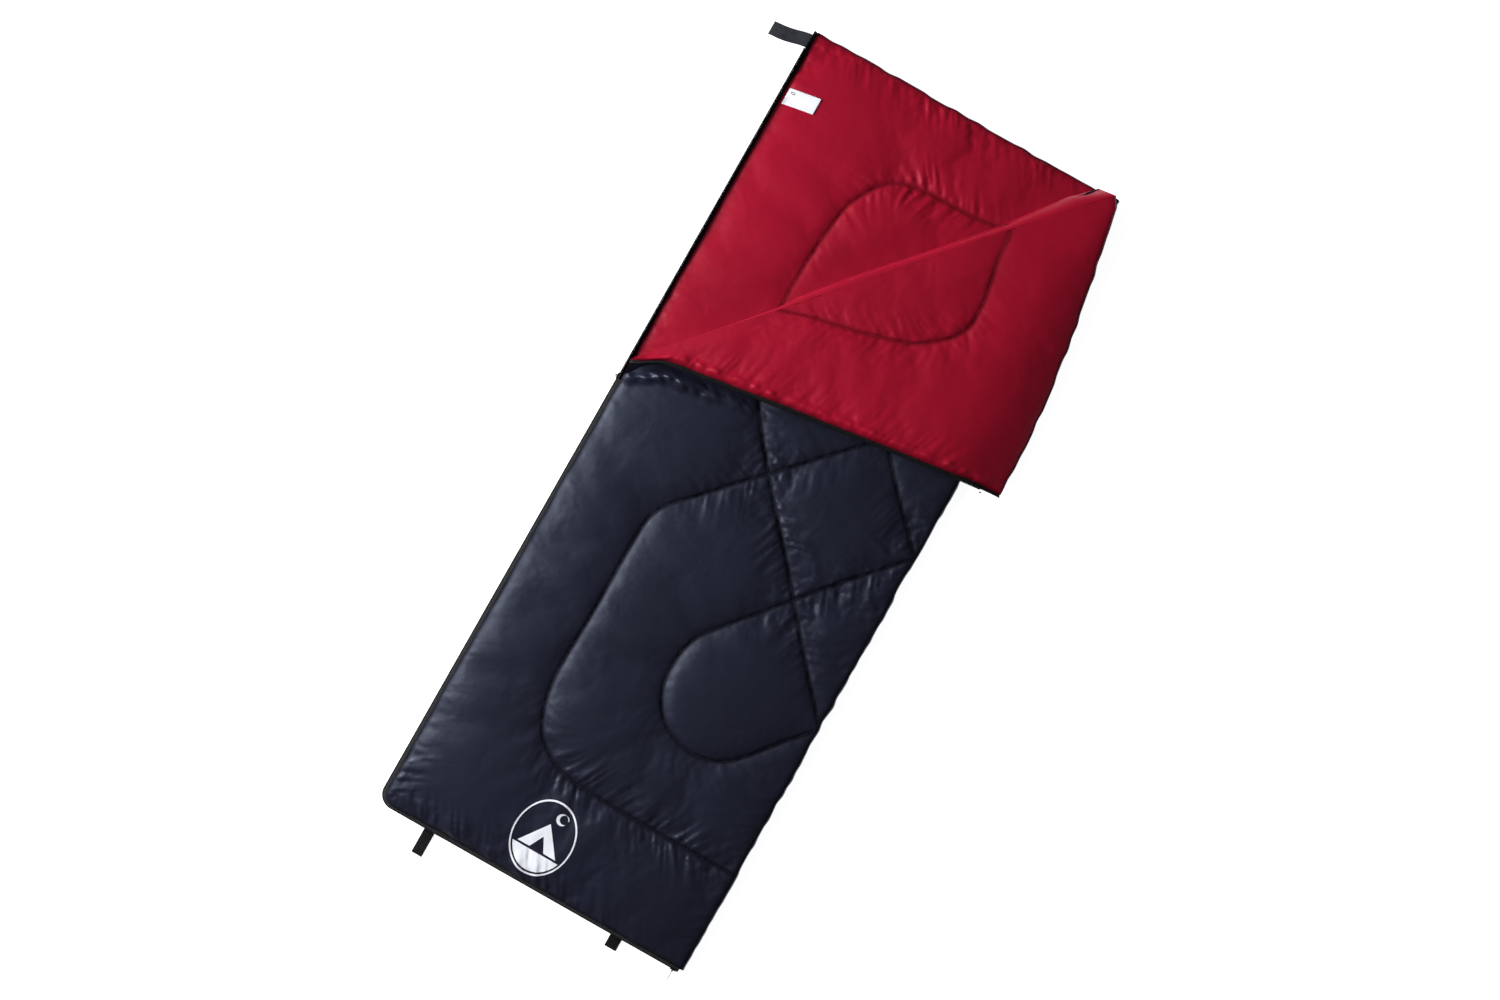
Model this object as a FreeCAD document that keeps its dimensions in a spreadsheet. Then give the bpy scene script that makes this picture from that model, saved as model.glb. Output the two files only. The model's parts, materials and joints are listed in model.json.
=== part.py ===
import FreeCAD, Part
import os

import Sketcher

# A rectangular sleeping bag, unzipped half way, with the head corner of its cover folded back.
# Base and cover are padded layers joined along the right side, and an L-shaped zip closes the
# left side and the foot. X runs across the bag from the zip side to the joined side, Y from foot
# to head and Z up. The origin is the centre of the underside. Sizes are in millimetres.

SIZES = {
    # The padded layers
    "bag_length": 1900,
    "bag_width": 740,
    "layer_loft": 25,
    "layer_gap": 2,
    "cloth": 1,
    "edge_round": 9,
    "foot_corner_round": 25,
    "batting_clearance": 0.3,
    # The fold that turns back the head corner of the cover
    "fold_from_joined_side": 50,
    "fold_rise": 850,
    "fold_clearance": 0.3,
    # The zip: reach is out from the bag's side, drop is away from the middle of the chain
    "tape_thickness": 0.8,
    "tape_reach": 7,
    "tape_edge_drop": 1.5,
    "tape_bend_drop": 4.8,
    "seam_half_width": 0.5,
    "coil_thickness": 2.4,
    "coil_drop": 1,
    "coil_width": 2.8,
    "head_setback": 45,
    "foot_setback": 4,
    "stop_length": 4,
    "stop_thickness": 3,
    "zip_end_clearance": 0.5,
    # The sliders, their bails and their pulls
    "slider_length": 14,
    "slider_half_width": 5.5,
    "inner_plate_half_width": 4,
    "slider_plate": 1.2,
    "slider_web": 1.4,
    "slider_clearance": 0.3,
    "slider_grip": 1.43,
    "bail_reach": 2.3,
    "bail_length": 3,
    "bail_lug": 1.2,
    "bail_gap": 4,
    "bail_pin_radius": 0.7,
    "pull_hole_radius": 1,
    "pull_eye_radius": 2,
    "pull_eye_width": 3.4,
    "pull_width": 6,
    "pull_neck": 4,
    "pull_length": 24,
    "pull_thickness": 1.2,
    # The webbing and the label
    "strap_height": 10.1,
    "strap_clearance": 0.3,
    "head_tab_length": 94,
    "head_tab_width": 32,
    "head_tab_slant": 16,
    "head_tab_setback": 8,
    "head_tab_thickness": 1.6,
    "loop_tail_reach": 11.8,
    "loop_gap": 5.4,
    "loop_thickness": 1.4,
    "left_loop_reach": 72,
    "left_loop_width": 25,
    "left_loop_from_zip_side": 121,
    "right_loop_reach": 42,
    "right_loop_width": 28,
    "right_loop_from_joined_side": 155,
    "label_length": 72,
    "label_width": 38,
    "label_thickness": 0.8,
    "label_lift": 0.3,
    "label_from_head": 148,
}

document = FreeCAD.newDocument("sleeping_bag")
sheet = document.addObject("Spreadsheet::Sheet", "sizes")
for row, (size_name, size) in enumerate(SIZES.items(), start=1):
    sheet.set(f"A{row}", size_name)
    sheet.set(f"B{row}", str(size))
    sheet.setAlias(f"B{row}", size_name)
document.recompute()

# Heights and places that several pieces share, as expressions of the sheet's cells
HALF_WIDTH = "(sizes.bag_width / 2)"
HALF_LENGTH = "(sizes.bag_length / 2)"
HALF_LOFT = "(sizes.layer_loft / 2)"
CHAIN_HEIGHT = "(sizes.layer_loft + sizes.layer_gap / 2)"
COVER_SEAM = f"(sizes.layer_loft + sizes.layer_gap + {HALF_LOFT})"
COVER_TOP = "(2 * sizes.layer_loft + sizes.layer_gap)"
FOLD_HEIGHT = f"({COVER_TOP} + sizes.fold_clearance / 2)"
FOLD_WIDTH = "(sizes.bag_width - sizes.fold_from_joined_side)"
FOLD_LENGTH = f"sqrt({FOLD_WIDTH} ^ 2 + sizes.fold_rise ^ 2)"
OPENING = f"({HALF_LENGTH} - sizes.fold_rise)"
HEAD_END = f"({HALF_LENGTH} - sizes.head_setback)"
FOOT_END = f"({HALF_WIDTH} - sizes.foot_setback)"
TAPE_OUT = "(sizes.tape_reach + sizes.tape_thickness)"
COIL_OUT = f"({TAPE_OUT} + sizes.coil_thickness)"
COVER_ZIP_END = (
    f"({OPENING} - {COIL_OUT} * sizes.fold_rise / {FOLD_WIDTH} - sizes.zip_end_clearance)"
)
SLIDER_OUT = f"({COIL_OUT} + sizes.slider_clearance + sizes.slider_plate)"
PIN_OUT = f"({SLIDER_OUT} + sizes.bail_reach)"
SIDE_SLIDER = f"({COVER_ZIP_END} - sizes.slider_grip + sizes.slider_length / 2)"
FLAP_ZIP_START = (
    f"max({OPENING} + sizes.zip_end_clearance;"
    f" {SIDE_SLIDER} + sizes.slider_length / 2 + 2 * sizes.zip_end_clearance)"
)
FOOT_SLIDER = (
    f"({FOOT_END} - sizes.stop_length - sizes.zip_end_clearance - sizes.slider_length / 2)"
)

TOLERANCE = 1e-6
LEVEL = "rotation(vector(0; 0; 1); 0)"
QUARTER_TURN = "rotation(vector(0; 0; 1); 90)"


def value_of(expression):
    """The present value of an expression of the sheet's cells."""
    return float(sheet.evalExpression(expression))


def new_body(name):
    body = document.addObject("PartDesign::Body", name)
    body.Label = name
    return body


def place(piece, x, y, z, turn=LEVEL):
    """Ties a piece's placement to three expressions and a turn."""
    piece.setExpression("Placement", f"placement(vector({x}; {y}; {z}); {turn})")
    return piece


def place_on_flap(piece, height):
    """Turns a piece that is drawn unfolded by half a turn about the fold, as the flap lies."""
    distance = f"({HALF_WIDTH} * sizes.fold_rise + {OPENING} * {FOLD_WIDTH}) / {FOLD_LENGTH}"
    half_turn = f"rotation(vector({FOLD_WIDTH}; sizes.fold_rise; 0); 180)"
    x = f"-2 * {distance} * sizes.fold_rise / {FOLD_LENGTH}"
    y = f"2 * {distance} * {FOLD_WIDTH} / {FOLD_LENGTH}"
    return place(piece, x, y, f"2 * {FOLD_HEIGHT} - {height}", half_turn)


def new_sketch(body, name, role, lift="0"):
    """A sketch on one of the body's own origin planes, moved by lift along its normal."""
    plane = next(part for part in body.Origin.OriginFeatures if part.Role == role)
    sketch = body.newObject("Sketcher::SketchObject", name)
    sketch.AttachmentSupport = [(plane, "")]
    sketch.MapMode = "FlatFace"
    sketch.setExpression("AttachmentOffset.Base.z", lift)
    return sketch


def hold(sketch, element, point, corner):
    """Holds a point of a sketch at a corner given by two expressions."""
    for direction, expression in zip(("DistanceX", "DistanceY"), corner):
        here = value_of(expression)
        constraint = Sketcher.Constraint(direction, -1, 1, element, point, here)
        index = sketch.addConstraint(constraint)
        sketch.setExpression(f"Constraints[{index}]", expression)


def hold_radius(sketch, element, radius):
    index = sketch.addConstraint(Sketcher.Constraint("Radius", element, value_of(radius)))
    sketch.setExpression(f"Constraints[{index}]", radius)


def vector_at(corner):
    return FreeCAD.Vector(value_of(corner[0]), value_of(corner[1]), 0)


def draw_outline(sketch, corners):
    """A closed outline of straight lines through corners given as pairs of expressions."""
    count = len(corners)
    for i in range(count):
        line = Part.LineSegment(vector_at(corners[i]), vector_at(corners[(i + 1) % count]))
        sketch.addGeometry(line)
    for i in range(count):
        sketch.addConstraint(Sketcher.Constraint("Coincident", i, 2, (i + 1) % count, 1))
    for i, corner in enumerate(corners):
        hold(sketch, i, 1, corner)


def draw_rectangle(sketch, low_x, high_x, low_y, high_y):
    draw_outline(sketch, [(low_x, low_y), (high_x, low_y), (high_x, high_y), (low_x, high_y)])


def draw_circle(sketch, radius):
    """A circle about the sketch's origin."""
    circle = Part.Circle(FreeCAD.Vector(), FreeCAD.Vector(0, 0, 1), value_of(radius))
    element = sketch.addGeometry(circle)
    sketch.addConstraint(Sketcher.Constraint("Coincident", element, 3, -1, 1))
    hold_radius(sketch, element, radius)


def pad(body, sketch, length, reverse=False, both_ways=False):
    feature = body.newObject("PartDesign::Pad", f"{sketch.Name}_pad")
    feature.Profile = sketch
    feature.setExpression("Length", length)
    feature.Reversed = reverse
    feature.Midplane = both_ways
    document.recompute()
    return feature


def pocket(body, sketch, depth, reverse=False, both_ways=False):
    """Cuts a pocket, and makes sure that it took material away."""
    before = body.Shape.Volume
    feature = body.newObject("PartDesign::Pocket", f"{sketch.Name}_pocket")
    feature.Profile = sketch
    feature.setExpression("Length", depth)
    feature.Reversed = reverse
    feature.Midplane = both_ways
    document.recompute()
    if feature.Shape.Volume >= before:
        raise RuntimeError(f"{feature.Name} cut nothing")
    return feature


def round_edges(body, base, chosen, radius):
    """A fillet on those edges of base that the function chosen picks."""
    names = [f"Edge{i}" for i, edge in enumerate(base.Shape.Edges, start=1) if chosen(edge)]
    feature = body.newObject("PartDesign::Fillet", f"{base.Name}_round")
    feature.Base = (base, names)
    feature.setExpression("Radius", radius)
    document.recompute()
    return feature


def level_at(*heights):
    """Picks the edges that lie level at one of the heights."""
    levels = [value_of(height) for height in heights]

    def chosen(edge):
        box = edge.BoundBox
        return box.ZLength < TOLERANCE and any(abs(box.ZMin - z) < TOLERANCE for z in levels)

    return chosen


def upright_at(corner):
    """Picks the upright edge at a corner of an outline."""
    spot = vector_at(corner)

    def chosen(edge):
        box = edge.BoundBox
        upright = max(box.XLength, box.YLength) < TOLERANCE < box.ZLength
        return upright and abs(box.XMin - spot.x) < TOLERANCE and abs(box.YMin - spot.y) < TOLERANCE

    return chosen


# Outlines of the layers seen from above, drawn smaller by an inset. The fold runs slantwise from
# the zip side at the opening to the head side.


def base_outline(inset):
    return [
        (f"-{HALF_WIDTH} + {inset}", f"-{HALF_LENGTH} + {inset}"),
        (f"{HALF_WIDTH} - {inset}", f"-{HALF_LENGTH} + {inset}"),
        (f"{HALF_WIDTH} - {inset}", f"{HALF_LENGTH} - {inset}"),
        (f"-{HALF_WIDTH} + {inset}", f"{HALF_LENGTH} - {inset}"),
    ]


def fold_ends(inset, away):
    """Ends of a line beside the fold, at a distance away from it on the foot's side."""
    at_zip_side = (
        f"-{HALF_WIDTH} + {inset}",
        f"{OPENING} + ({inset} * sizes.fold_rise - {away} * {FOLD_LENGTH}) / {FOLD_WIDTH}",
    )
    at_head = (
        f"{HALF_WIDTH} - sizes.fold_from_joined_side"
        f" + ({away} * {FOLD_LENGTH} - {inset} * {FOLD_WIDTH}) / sizes.fold_rise",
        f"{HALF_LENGTH} - {inset}",
    )
    return at_zip_side, at_head


def cover_outline(inset):
    at_zip_side, at_head = fold_ends(inset, f"({inset} + sizes.fold_clearance / 2)")
    foot_left, foot_right, head_right, _ = base_outline(inset)
    return [foot_left, foot_right, head_right, at_head, at_zip_side]


def flap_outline(inset):
    """The turned-back corner as it lies unfolded."""
    at_zip_side, at_head = fold_ends(inset, f"(-1 * {inset} - sizes.fold_clearance / 2)")
    return [at_zip_side, at_head, base_outline(inset)[3]]


def rounded_block(name, outline, inset, height, direction, radius):
    """A padded outline with its level edges rounded, except those in the seam's plane at 0.
    It goes up from that plane (direction 1), down from it (-1), or both ways (0)."""
    body = new_body(name)
    sketch = new_sketch(body, f"{name}_outline", "XY_Plane")
    draw_outline(sketch, outline(inset))
    length = height if direction else f"2 * {height}"
    solid = pad(body, sketch, length, reverse=direction < 0, both_ways=direction == 0)
    if outline is not flap_outline:
        corner = f"(sizes.foot_corner_round - {inset})"
        solid = round_edges(body, solid, upright_at(outline(inset)[0]), corner)
    faces = {1: [height], -1: [f"-1 * {height}"], 0: [height, f"-1 * {height}"]}[direction]
    round_edges(body, solid, level_at(*faces), radius)
    return body


def cloth_half(name, outline, direction):
    """One cloth half of a layer: a tray whose rim is the seam round the layer's edge, level
    with the body's origin, and whose floor is the layer's top (1) or bottom (-1) face."""
    inside_height = f"({HALF_LOFT} - sizes.cloth)"
    inside_radius = "(sizes.edge_round - sizes.cloth)"
    tray = document.addObject("Part::Cut", name)
    tray.Label = name
    tray.Base = rounded_block(
        f"{name}_outside", outline, "0", HALF_LOFT, direction, "sizes.edge_round"
    )
    tray.Tool = rounded_block(
        f"{name}_inside", outline, "sizes.cloth", inside_height, direction, inside_radius
    )
    document.recompute()
    return tray


def batting(name, outline):
    """The filling between a layer's two cloth halves, level with the seam."""
    inset = "(sizes.cloth + sizes.batting_clearance)"
    half_height = f"({HALF_LOFT} - sizes.cloth)"
    return rounded_block(name, outline, inset, half_height, 0, "(sizes.edge_round - sizes.cloth)")


def make_layers():
    """Base, cover and flap, each of an outer shell, batting and a lining. The flap's lining is
    its upper side, because the flap is turned over."""
    place(cloth_half("base_shell", base_outline, -1), "0", "0", HALF_LOFT)
    place(batting("base_batting", base_outline), "0", "0", HALF_LOFT)
    place(cloth_half("base_lining", base_outline, 1), "0", "0", HALF_LOFT)
    place(cloth_half("cover_shell", cover_outline, 1), "0", "0", COVER_SEAM)
    place(batting("cover_batting", cover_outline), "0", "0", COVER_SEAM)
    place(cloth_half("cover_lining", cover_outline, -1), "0", "0", COVER_SEAM)
    place_on_flap(cloth_half("flap_shell", flap_outline, 1), COVER_SEAM)
    place_on_flap(batting("flap_batting", flap_outline), COVER_SEAM)
    place_on_flap(cloth_half("flap_lining", flap_outline, -1), COVER_SEAM)


# The zip. Each profile is a list of (reach out from the bag's side, drop from the chain's middle)
# and side is -1 for the base's half of the zip and +1 for the cover's half.


def tape_profile():
    """A strip that leaves the layer's seam and slants out to the chain."""
    seam = f"({HALF_LOFT} + sizes.layer_gap / 2)"
    return [
        ("0", f"{seam} + sizes.seam_half_width"),
        ("0", f"{seam} - sizes.seam_half_width"),
        ("sizes.tape_reach", "sizes.tape_bend_drop"),
        ("sizes.tape_reach", "sizes.tape_edge_drop"),
        (TAPE_OUT, "sizes.tape_edge_drop"),
        (TAPE_OUT, "sizes.tape_bend_drop + sizes.seam_half_width"),
    ]


def chain_profile(thickness):
    """What is fixed to the outer face of the tape along its free edge."""
    low = "sizes.coil_drop"
    high = "sizes.coil_drop + sizes.coil_width"
    out = f"{TAPE_OUT} + {thickness}"
    return [(TAPE_OUT, low), (out, low), (out, high), (TAPE_OUT, high)]


def seen_along(profile, edge, side):
    """A profile set at the bag's side, at a distance edge from the middle of the bag."""
    return [(f"-1 * ({edge} + {out})", f"{side} * ({drop})") for out, drop in profile]


def side_strip(name, profile, side, start, end):
    """A straight piece of the zip along the bag's side, from start to end in Y."""
    body = new_body(name)
    sketch = new_sketch(body, f"{name}_profile", "XZ_Plane", f"-1 * {start}")
    draw_outline(sketch, seen_along(profile, HALF_WIDTH, side))
    pad(body, sketch, f"({end}) - ({start})", reverse=True)
    return body


def foot_strip(name, profile, side, start, end):
    """A straight piece of the zip along the foot, from start to end in X."""
    body = new_body(name)
    sketch = new_sketch(body, f"{name}_profile", "YZ_Plane", start)
    draw_outline(sketch, seen_along(profile, HALF_LENGTH, side))
    pad(body, sketch, f"({end}) - ({start})")
    return body


def corner_strip(name, profile, side, start, end):
    """A piece of the zip down the side, round the foot corner and along the foot."""
    body = new_body(name)
    sketch = new_sketch(body, f"{name}_profile", "XZ_Plane", f"-1 * {start}")
    draw_outline(sketch, seen_along(profile, HALF_WIDTH, side))

    radius = "sizes.foot_corner_round"
    top = (f"-{HALF_WIDTH}", start)
    side_end = (f"-{HALF_WIDTH}", f"-{HALF_LENGTH} + {radius}")
    foot_start = (f"-{HALF_WIDTH} + {radius}", f"-{HALF_LENGTH}")
    foot_end = (end, f"-{HALF_LENGTH}")
    centre = (foot_start[0], side_end[1])
    path = new_sketch(body, f"{name}_path", "XY_Plane")
    path.addGeometry(Part.LineSegment(vector_at(top), vector_at(side_end)))
    path.addGeometry(Part.LineSegment(vector_at(foot_start), vector_at(foot_end)))
    middle = vector_at(centre) - FreeCAD.Vector(1, 1, 0).normalize() * value_of(radius)
    path.addGeometry(Part.Arc(vector_at(side_end), middle, vector_at(foot_start)))
    path.addConstraint(Sketcher.Constraint("Coincident", 2, 1, 0, 2))
    path.addConstraint(Sketcher.Constraint("Coincident", 2, 2, 1, 1))
    hold(path, 0, 1, top)
    hold(path, 0, 2, side_end)
    hold(path, 1, 1, foot_start)
    hold(path, 1, 2, foot_end)
    hold_radius(path, 2, radius)

    sweep = body.newObject("PartDesign::AdditivePipe", f"{name}_sweep")
    sweep.Profile = sketch
    sweep.Spine = (path, [])
    document.recompute()
    return body


def make_zip():
    """Tape, coil and end stops on the base, the cover and the flap."""
    base, cover = -1, 1
    tape = tape_profile()
    coil = chain_profile("sizes.coil_thickness")
    stop = chain_profile("sizes.stop_thickness")
    coil_head_end = f"({HEAD_END} - sizes.stop_length)"
    coil_foot_end = f"({FOOT_END} - sizes.stop_length)"
    on_chain = [
        corner_strip("base_zip_tape", tape, base, HEAD_END, FOOT_END),
        corner_strip("base_zip_coil", coil, base, coil_head_end, coil_foot_end),
        side_strip("base_head_stop", stop, base, coil_head_end, HEAD_END),
        foot_strip("base_foot_stop", stop, base, coil_foot_end, FOOT_END),
        corner_strip("cover_zip_tape", tape, cover, COVER_ZIP_END, FOOT_END),
        corner_strip("cover_zip_coil", coil, cover, COVER_ZIP_END, coil_foot_end),
        foot_strip("cover_foot_stop", stop, cover, coil_foot_end, FOOT_END),
    ]
    for body in on_chain:
        place(body, "0", "0", CHAIN_HEIGHT)
    on_flap = [
        side_strip("flap_zip_tape", tape, cover, FLAP_ZIP_START, HEAD_END),
        side_strip("flap_zip_coil", coil, cover, FLAP_ZIP_START, coil_head_end),
        side_strip("flap_head_stop", stop, cover, coil_head_end, HEAD_END),
    ]
    for body in on_flap:
        place_on_flap(body, CHAIN_HEIGHT)


def slider(name):
    """Two plates joined by a web that runs between the chain's halves. The outer plate's lower
    edge turns in under the base's coil. Its upper edge is open, so that the cover's coil can
    lift out. The bag's side is at the body's origin, and the plates stand out along -X."""
    inner_low = "(sizes.tape_reach - sizes.slider_clearance - sizes.slider_plate)"
    inner_high = "(sizes.tape_reach - sizes.slider_clearance)"
    outer_low = f"({COIL_OUT} + sizes.slider_clearance)"
    lip = f"({TAPE_OUT} + sizes.slider_clearance)"
    web = "(sizes.slider_web / 2)"
    inner = "sizes.inner_plate_half_width"
    outer = "sizes.slider_half_width"
    lip_top = "(sizes.slider_half_width - sizes.slider_plate)"
    profile = [
        (SLIDER_OUT, outer),
        (outer_low, outer),
        (outer_low, web),
        (inner_high, web),
        (inner_high, inner),
        (inner_low, inner),
        (inner_low, f"-1 * {inner}"),
        (inner_high, f"-1 * {inner}"),
        (inner_high, f"-1 * {web}"),
        (outer_low, f"-1 * {web}"),
        (outer_low, f"-1 * {lip_top}"),
        (lip, f"-1 * {lip_top}"),
        (lip, f"-1 * {outer}"),
        (SLIDER_OUT, f"-1 * {outer}"),
    ]
    body = new_body(name)
    sketch = new_sketch(body, f"{name}_profile", "XZ_Plane")
    draw_outline(sketch, [(f"-1 * {out}", height) for out, height in profile])
    pad(body, sketch, "sizes.slider_length", both_ways=True)
    return body


def bail(name):
    """Two lugs on the slider's outer plate with the pull's pin between them, at the origin."""
    back = "-1 * sizes.bail_length / 2"
    front = "sizes.bail_length / 2"
    body = new_body(name)
    block = new_sketch(body, f"{name}_block", "XY_Plane")
    draw_rectangle(block, back, "sizes.bail_reach", back, front)
    pad(body, block, "sizes.bail_gap + 2 * sizes.bail_lug", both_ways=True)
    slot = new_sketch(body, f"{name}_slot", "XY_Plane")
    past = "sizes.bail_length"
    draw_rectangle(slot, f"-1 * {past}", f"sizes.bail_reach + {past}", f"-1 * {past}", past)
    pocket(body, slot, "sizes.bail_gap", both_ways=True)
    pin = new_sketch(body, f"{name}_pin", "XY_Plane")
    draw_circle(pin, "sizes.bail_pin_radius")
    pad(body, pin, "sizes.bail_gap + sizes.bail_lug", both_ways=True)
    return body


def pull(name):
    """A flat pull that stands out along -X from the eye round the bail's pin."""
    half_thickness = "sizes.pull_thickness / 2"
    body = new_body(name)
    eye = new_sketch(body, f"{name}_eye", "XY_Plane")
    draw_circle(eye, "sizes.pull_eye_radius")
    pad(body, eye, "sizes.pull_eye_width", both_ways=True)
    neck = new_sketch(body, f"{name}_neck", "XY_Plane")
    draw_rectangle(neck, "-1 * sizes.pull_neck", "0", f"-1 * {half_thickness}", half_thickness)
    pad(body, neck, "sizes.pull_eye_width", both_ways=True)
    tab = new_sketch(body, f"{name}_tab", "XY_Plane")
    far = "-1 * sizes.pull_length"
    draw_rectangle(tab, far, "-1 * sizes.pull_neck", f"-1 * {half_thickness}", half_thickness)
    pad(body, tab, "sizes.pull_width", both_ways=True)
    hole = new_sketch(body, f"{name}_hole", "XY_Plane")
    draw_circle(hole, "sizes.pull_hole_radius")
    pocket(body, hole, "sizes.pull_width", both_ways=True)
    return body


def make_sliders():
    """One slider at the opening with its pull laid along the zip, and one at the end of the
    foot with its pull standing out."""
    place(slider("side_slider"), f"-{HALF_WIDTH}", SIDE_SLIDER, CHAIN_HEIGHT)
    side_pin = f"-1 * ({HALF_WIDTH} + {PIN_OUT})"
    place(bail("side_slider_bail"), side_pin, SIDE_SLIDER, CHAIN_HEIGHT)
    place(pull("side_pull"), side_pin, SIDE_SLIDER, CHAIN_HEIGHT, QUARTER_TURN)
    place(slider("foot_slider"), FOOT_SLIDER, f"-{HALF_LENGTH}", CHAIN_HEIGHT, QUARTER_TURN)
    foot_pin = f"-1 * ({HALF_LENGTH} + {PIN_OUT})"
    place(bail("foot_slider_bail"), FOOT_SLIDER, foot_pin, CHAIN_HEIGHT, QUARTER_TURN)
    place(pull("foot_pull"), FOOT_SLIDER, foot_pin, CHAIN_HEIGHT, QUARTER_TURN)


def head_tab():
    """The webbing tab that stands out past the head end of the zip, slanted to the foot."""
    near = "sizes.strap_clearance"
    far = f"({near} + sizes.head_tab_length)"
    high = "(-1 * sizes.head_tab_setback)"
    low = f"({high} - sizes.head_tab_width)"
    body = new_body("head_tab")
    sketch = new_sketch(body, "head_tab_outline", "XY_Plane")
    corners = [
        (f"-1 * {near}", high),
        (f"-1 * {far}", f"{high} - sizes.head_tab_slant"),
        (f"-1 * {far}", f"{low} - sizes.head_tab_slant"),
        (f"-1 * {near}", low),
    ]
    draw_outline(sketch, corners)
    pad(body, sketch, "sizes.head_tab_thickness", both_ways=True)
    place(body, f"-{HALF_WIDTH}", HALF_LENGTH, f"({HALF_LOFT} - sizes.head_tab_thickness)")


def foot_loop(side, middle):
    """A hanging loop of webbing at the foot: a tail sewn to the edge and the loop beyond it."""
    reach = f"sizes.{side}_loop_reach"
    width = f"sizes.{side}_loop_width"
    tail = document.addObject("Part::Box", f"{side}_loop_tail")
    tail.Label = f"{side}_loop_tail"
    tail.setExpression("Length", width)
    tail.setExpression("Width", "sizes.loop_tail_reach")
    tail.setExpression("Height", "sizes.loop_thickness")
    left = f"{middle} - {width} / 2"
    foot = f"-{HALF_LENGTH} - sizes.loop_tail_reach"
    place(tail, left, foot, "sizes.strap_height - sizes.loop_thickness / 2")

    name = f"{side}_foot_loop"
    half_height = "(sizes.loop_gap / 2 + sizes.loop_thickness)"
    near = "(-1 * (sizes.loop_tail_reach + sizes.strap_clearance))"
    body = new_body(name)
    outer = new_sketch(body, f"{name}_outside", "YZ_Plane")
    draw_rectangle(outer, f"-1 * {reach}", near, f"-1 * {half_height}", half_height)
    solid = pad(body, outer, width, both_ways=True)
    level = level_at(half_height, f"-1 * {half_height}")

    def across(edge):
        return level(edge) and edge.BoundBox.YLength < TOLERANCE

    round_edges(body, solid, across, f"({half_height} - sizes.strap_clearance)")
    inner = new_sketch(body, f"{name}_inside", "YZ_Plane")
    end = f"-1 * {reach} + sizes.loop_thickness"
    start = f"{near} - sizes.loop_thickness"
    half_gap = "sizes.loop_gap / 2"
    draw_rectangle(inner, end, start, f"-1 * {half_gap}", half_gap)
    pocket(body, inner, width, both_ways=True)
    place(body, middle, f"-{HALF_LENGTH}", "sizes.strap_height")


def care_label():
    """A flat label that lies on the lining beside the zip, near the head."""
    label = document.addObject("Part::Box", "care_label")
    label.Label = "care_label"
    label.setExpression("Length", "sizes.label_length")
    label.setExpression("Width", "sizes.label_width")
    label.setExpression("Height", "sizes.label_thickness")
    head_side = f"{HALF_LENGTH} - sizes.label_from_head - sizes.label_width / 2"
    lining_top = "sizes.layer_loft + sizes.label_lift"
    place(label, f"-{HALF_WIDTH} + sizes.edge_round", head_side, lining_top)


def make_trim():
    """The webbing and the label."""
    head_tab()
    foot_loop("left", f"(sizes.left_loop_from_zip_side - {HALF_WIDTH})")
    foot_loop("right", f"({HALF_WIDTH} - sizes.right_loop_from_joined_side)")
    care_label()


def sub_parts():
    """The bodies, boxes and cuts that are pieces of the bag, not tools of a cut."""
    kinds = ("PartDesign::Body", "Part::Box", "Part::Cut")
    used = {tool.Name for cut in document.findObjects("Part::Cut") for tool in cut.OutList}
    return [item for item in document.Objects if item.TypeId in kinds and item.Name not in used]


def check():
    """Stops if an object of the document failed, or if a sub-part isn't one sound solid."""
    for item in document.Objects:
        if {"Invalid", "Error"} & set(item.State):
            raise RuntimeError(f"{item.Name} failed: {item.State}")
    for piece in sub_parts():
        if piece.Shape.isNull() or not piece.Shape.isValid() or len(piece.Shape.Solids) != 1:
            raise RuntimeError(f"{piece.Label} isn't a sound solid")


make_layers()
make_zip()
make_sliders()
make_trim()
document.recompute()
check()
os.makedirs("parts", exist_ok=True)
for sub_part in sub_parts():
    sub_part.Shape.exportStep(os.path.join("parts", f"{sub_part.Label}.step"))
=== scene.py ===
import json
import math

import bpy
import numpy as np
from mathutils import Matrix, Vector
from mathutils.bvhtree import BVHTree
from mathutils.geometry import delaunay_2d_cdt
from mathutils.kdtree import KDTree


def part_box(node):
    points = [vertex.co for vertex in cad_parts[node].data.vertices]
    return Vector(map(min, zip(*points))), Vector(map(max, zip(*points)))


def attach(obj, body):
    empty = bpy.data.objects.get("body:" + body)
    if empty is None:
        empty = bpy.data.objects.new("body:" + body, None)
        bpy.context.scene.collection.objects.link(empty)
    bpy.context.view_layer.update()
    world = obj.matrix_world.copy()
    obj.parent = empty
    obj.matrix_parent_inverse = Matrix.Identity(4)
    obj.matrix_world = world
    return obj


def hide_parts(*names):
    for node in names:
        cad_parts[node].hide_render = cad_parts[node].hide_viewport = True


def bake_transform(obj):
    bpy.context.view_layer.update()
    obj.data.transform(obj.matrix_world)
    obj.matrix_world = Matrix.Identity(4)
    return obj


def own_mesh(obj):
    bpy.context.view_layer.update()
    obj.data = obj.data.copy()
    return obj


# The looks of a rectangular sleeping bag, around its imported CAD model. X runs across the bag from
# the zip side to the joined side, Y from foot to head and Z up. Everything is in metres.

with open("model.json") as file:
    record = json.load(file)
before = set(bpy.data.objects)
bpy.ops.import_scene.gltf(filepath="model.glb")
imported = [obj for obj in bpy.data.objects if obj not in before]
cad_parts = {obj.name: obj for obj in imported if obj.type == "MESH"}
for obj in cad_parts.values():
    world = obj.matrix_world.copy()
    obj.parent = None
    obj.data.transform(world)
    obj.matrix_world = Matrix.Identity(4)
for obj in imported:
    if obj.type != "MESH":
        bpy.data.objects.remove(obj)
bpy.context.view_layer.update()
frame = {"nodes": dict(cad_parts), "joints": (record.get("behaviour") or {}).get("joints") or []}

MM = 0.001

# ---- Places that come from the frame ----

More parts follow.
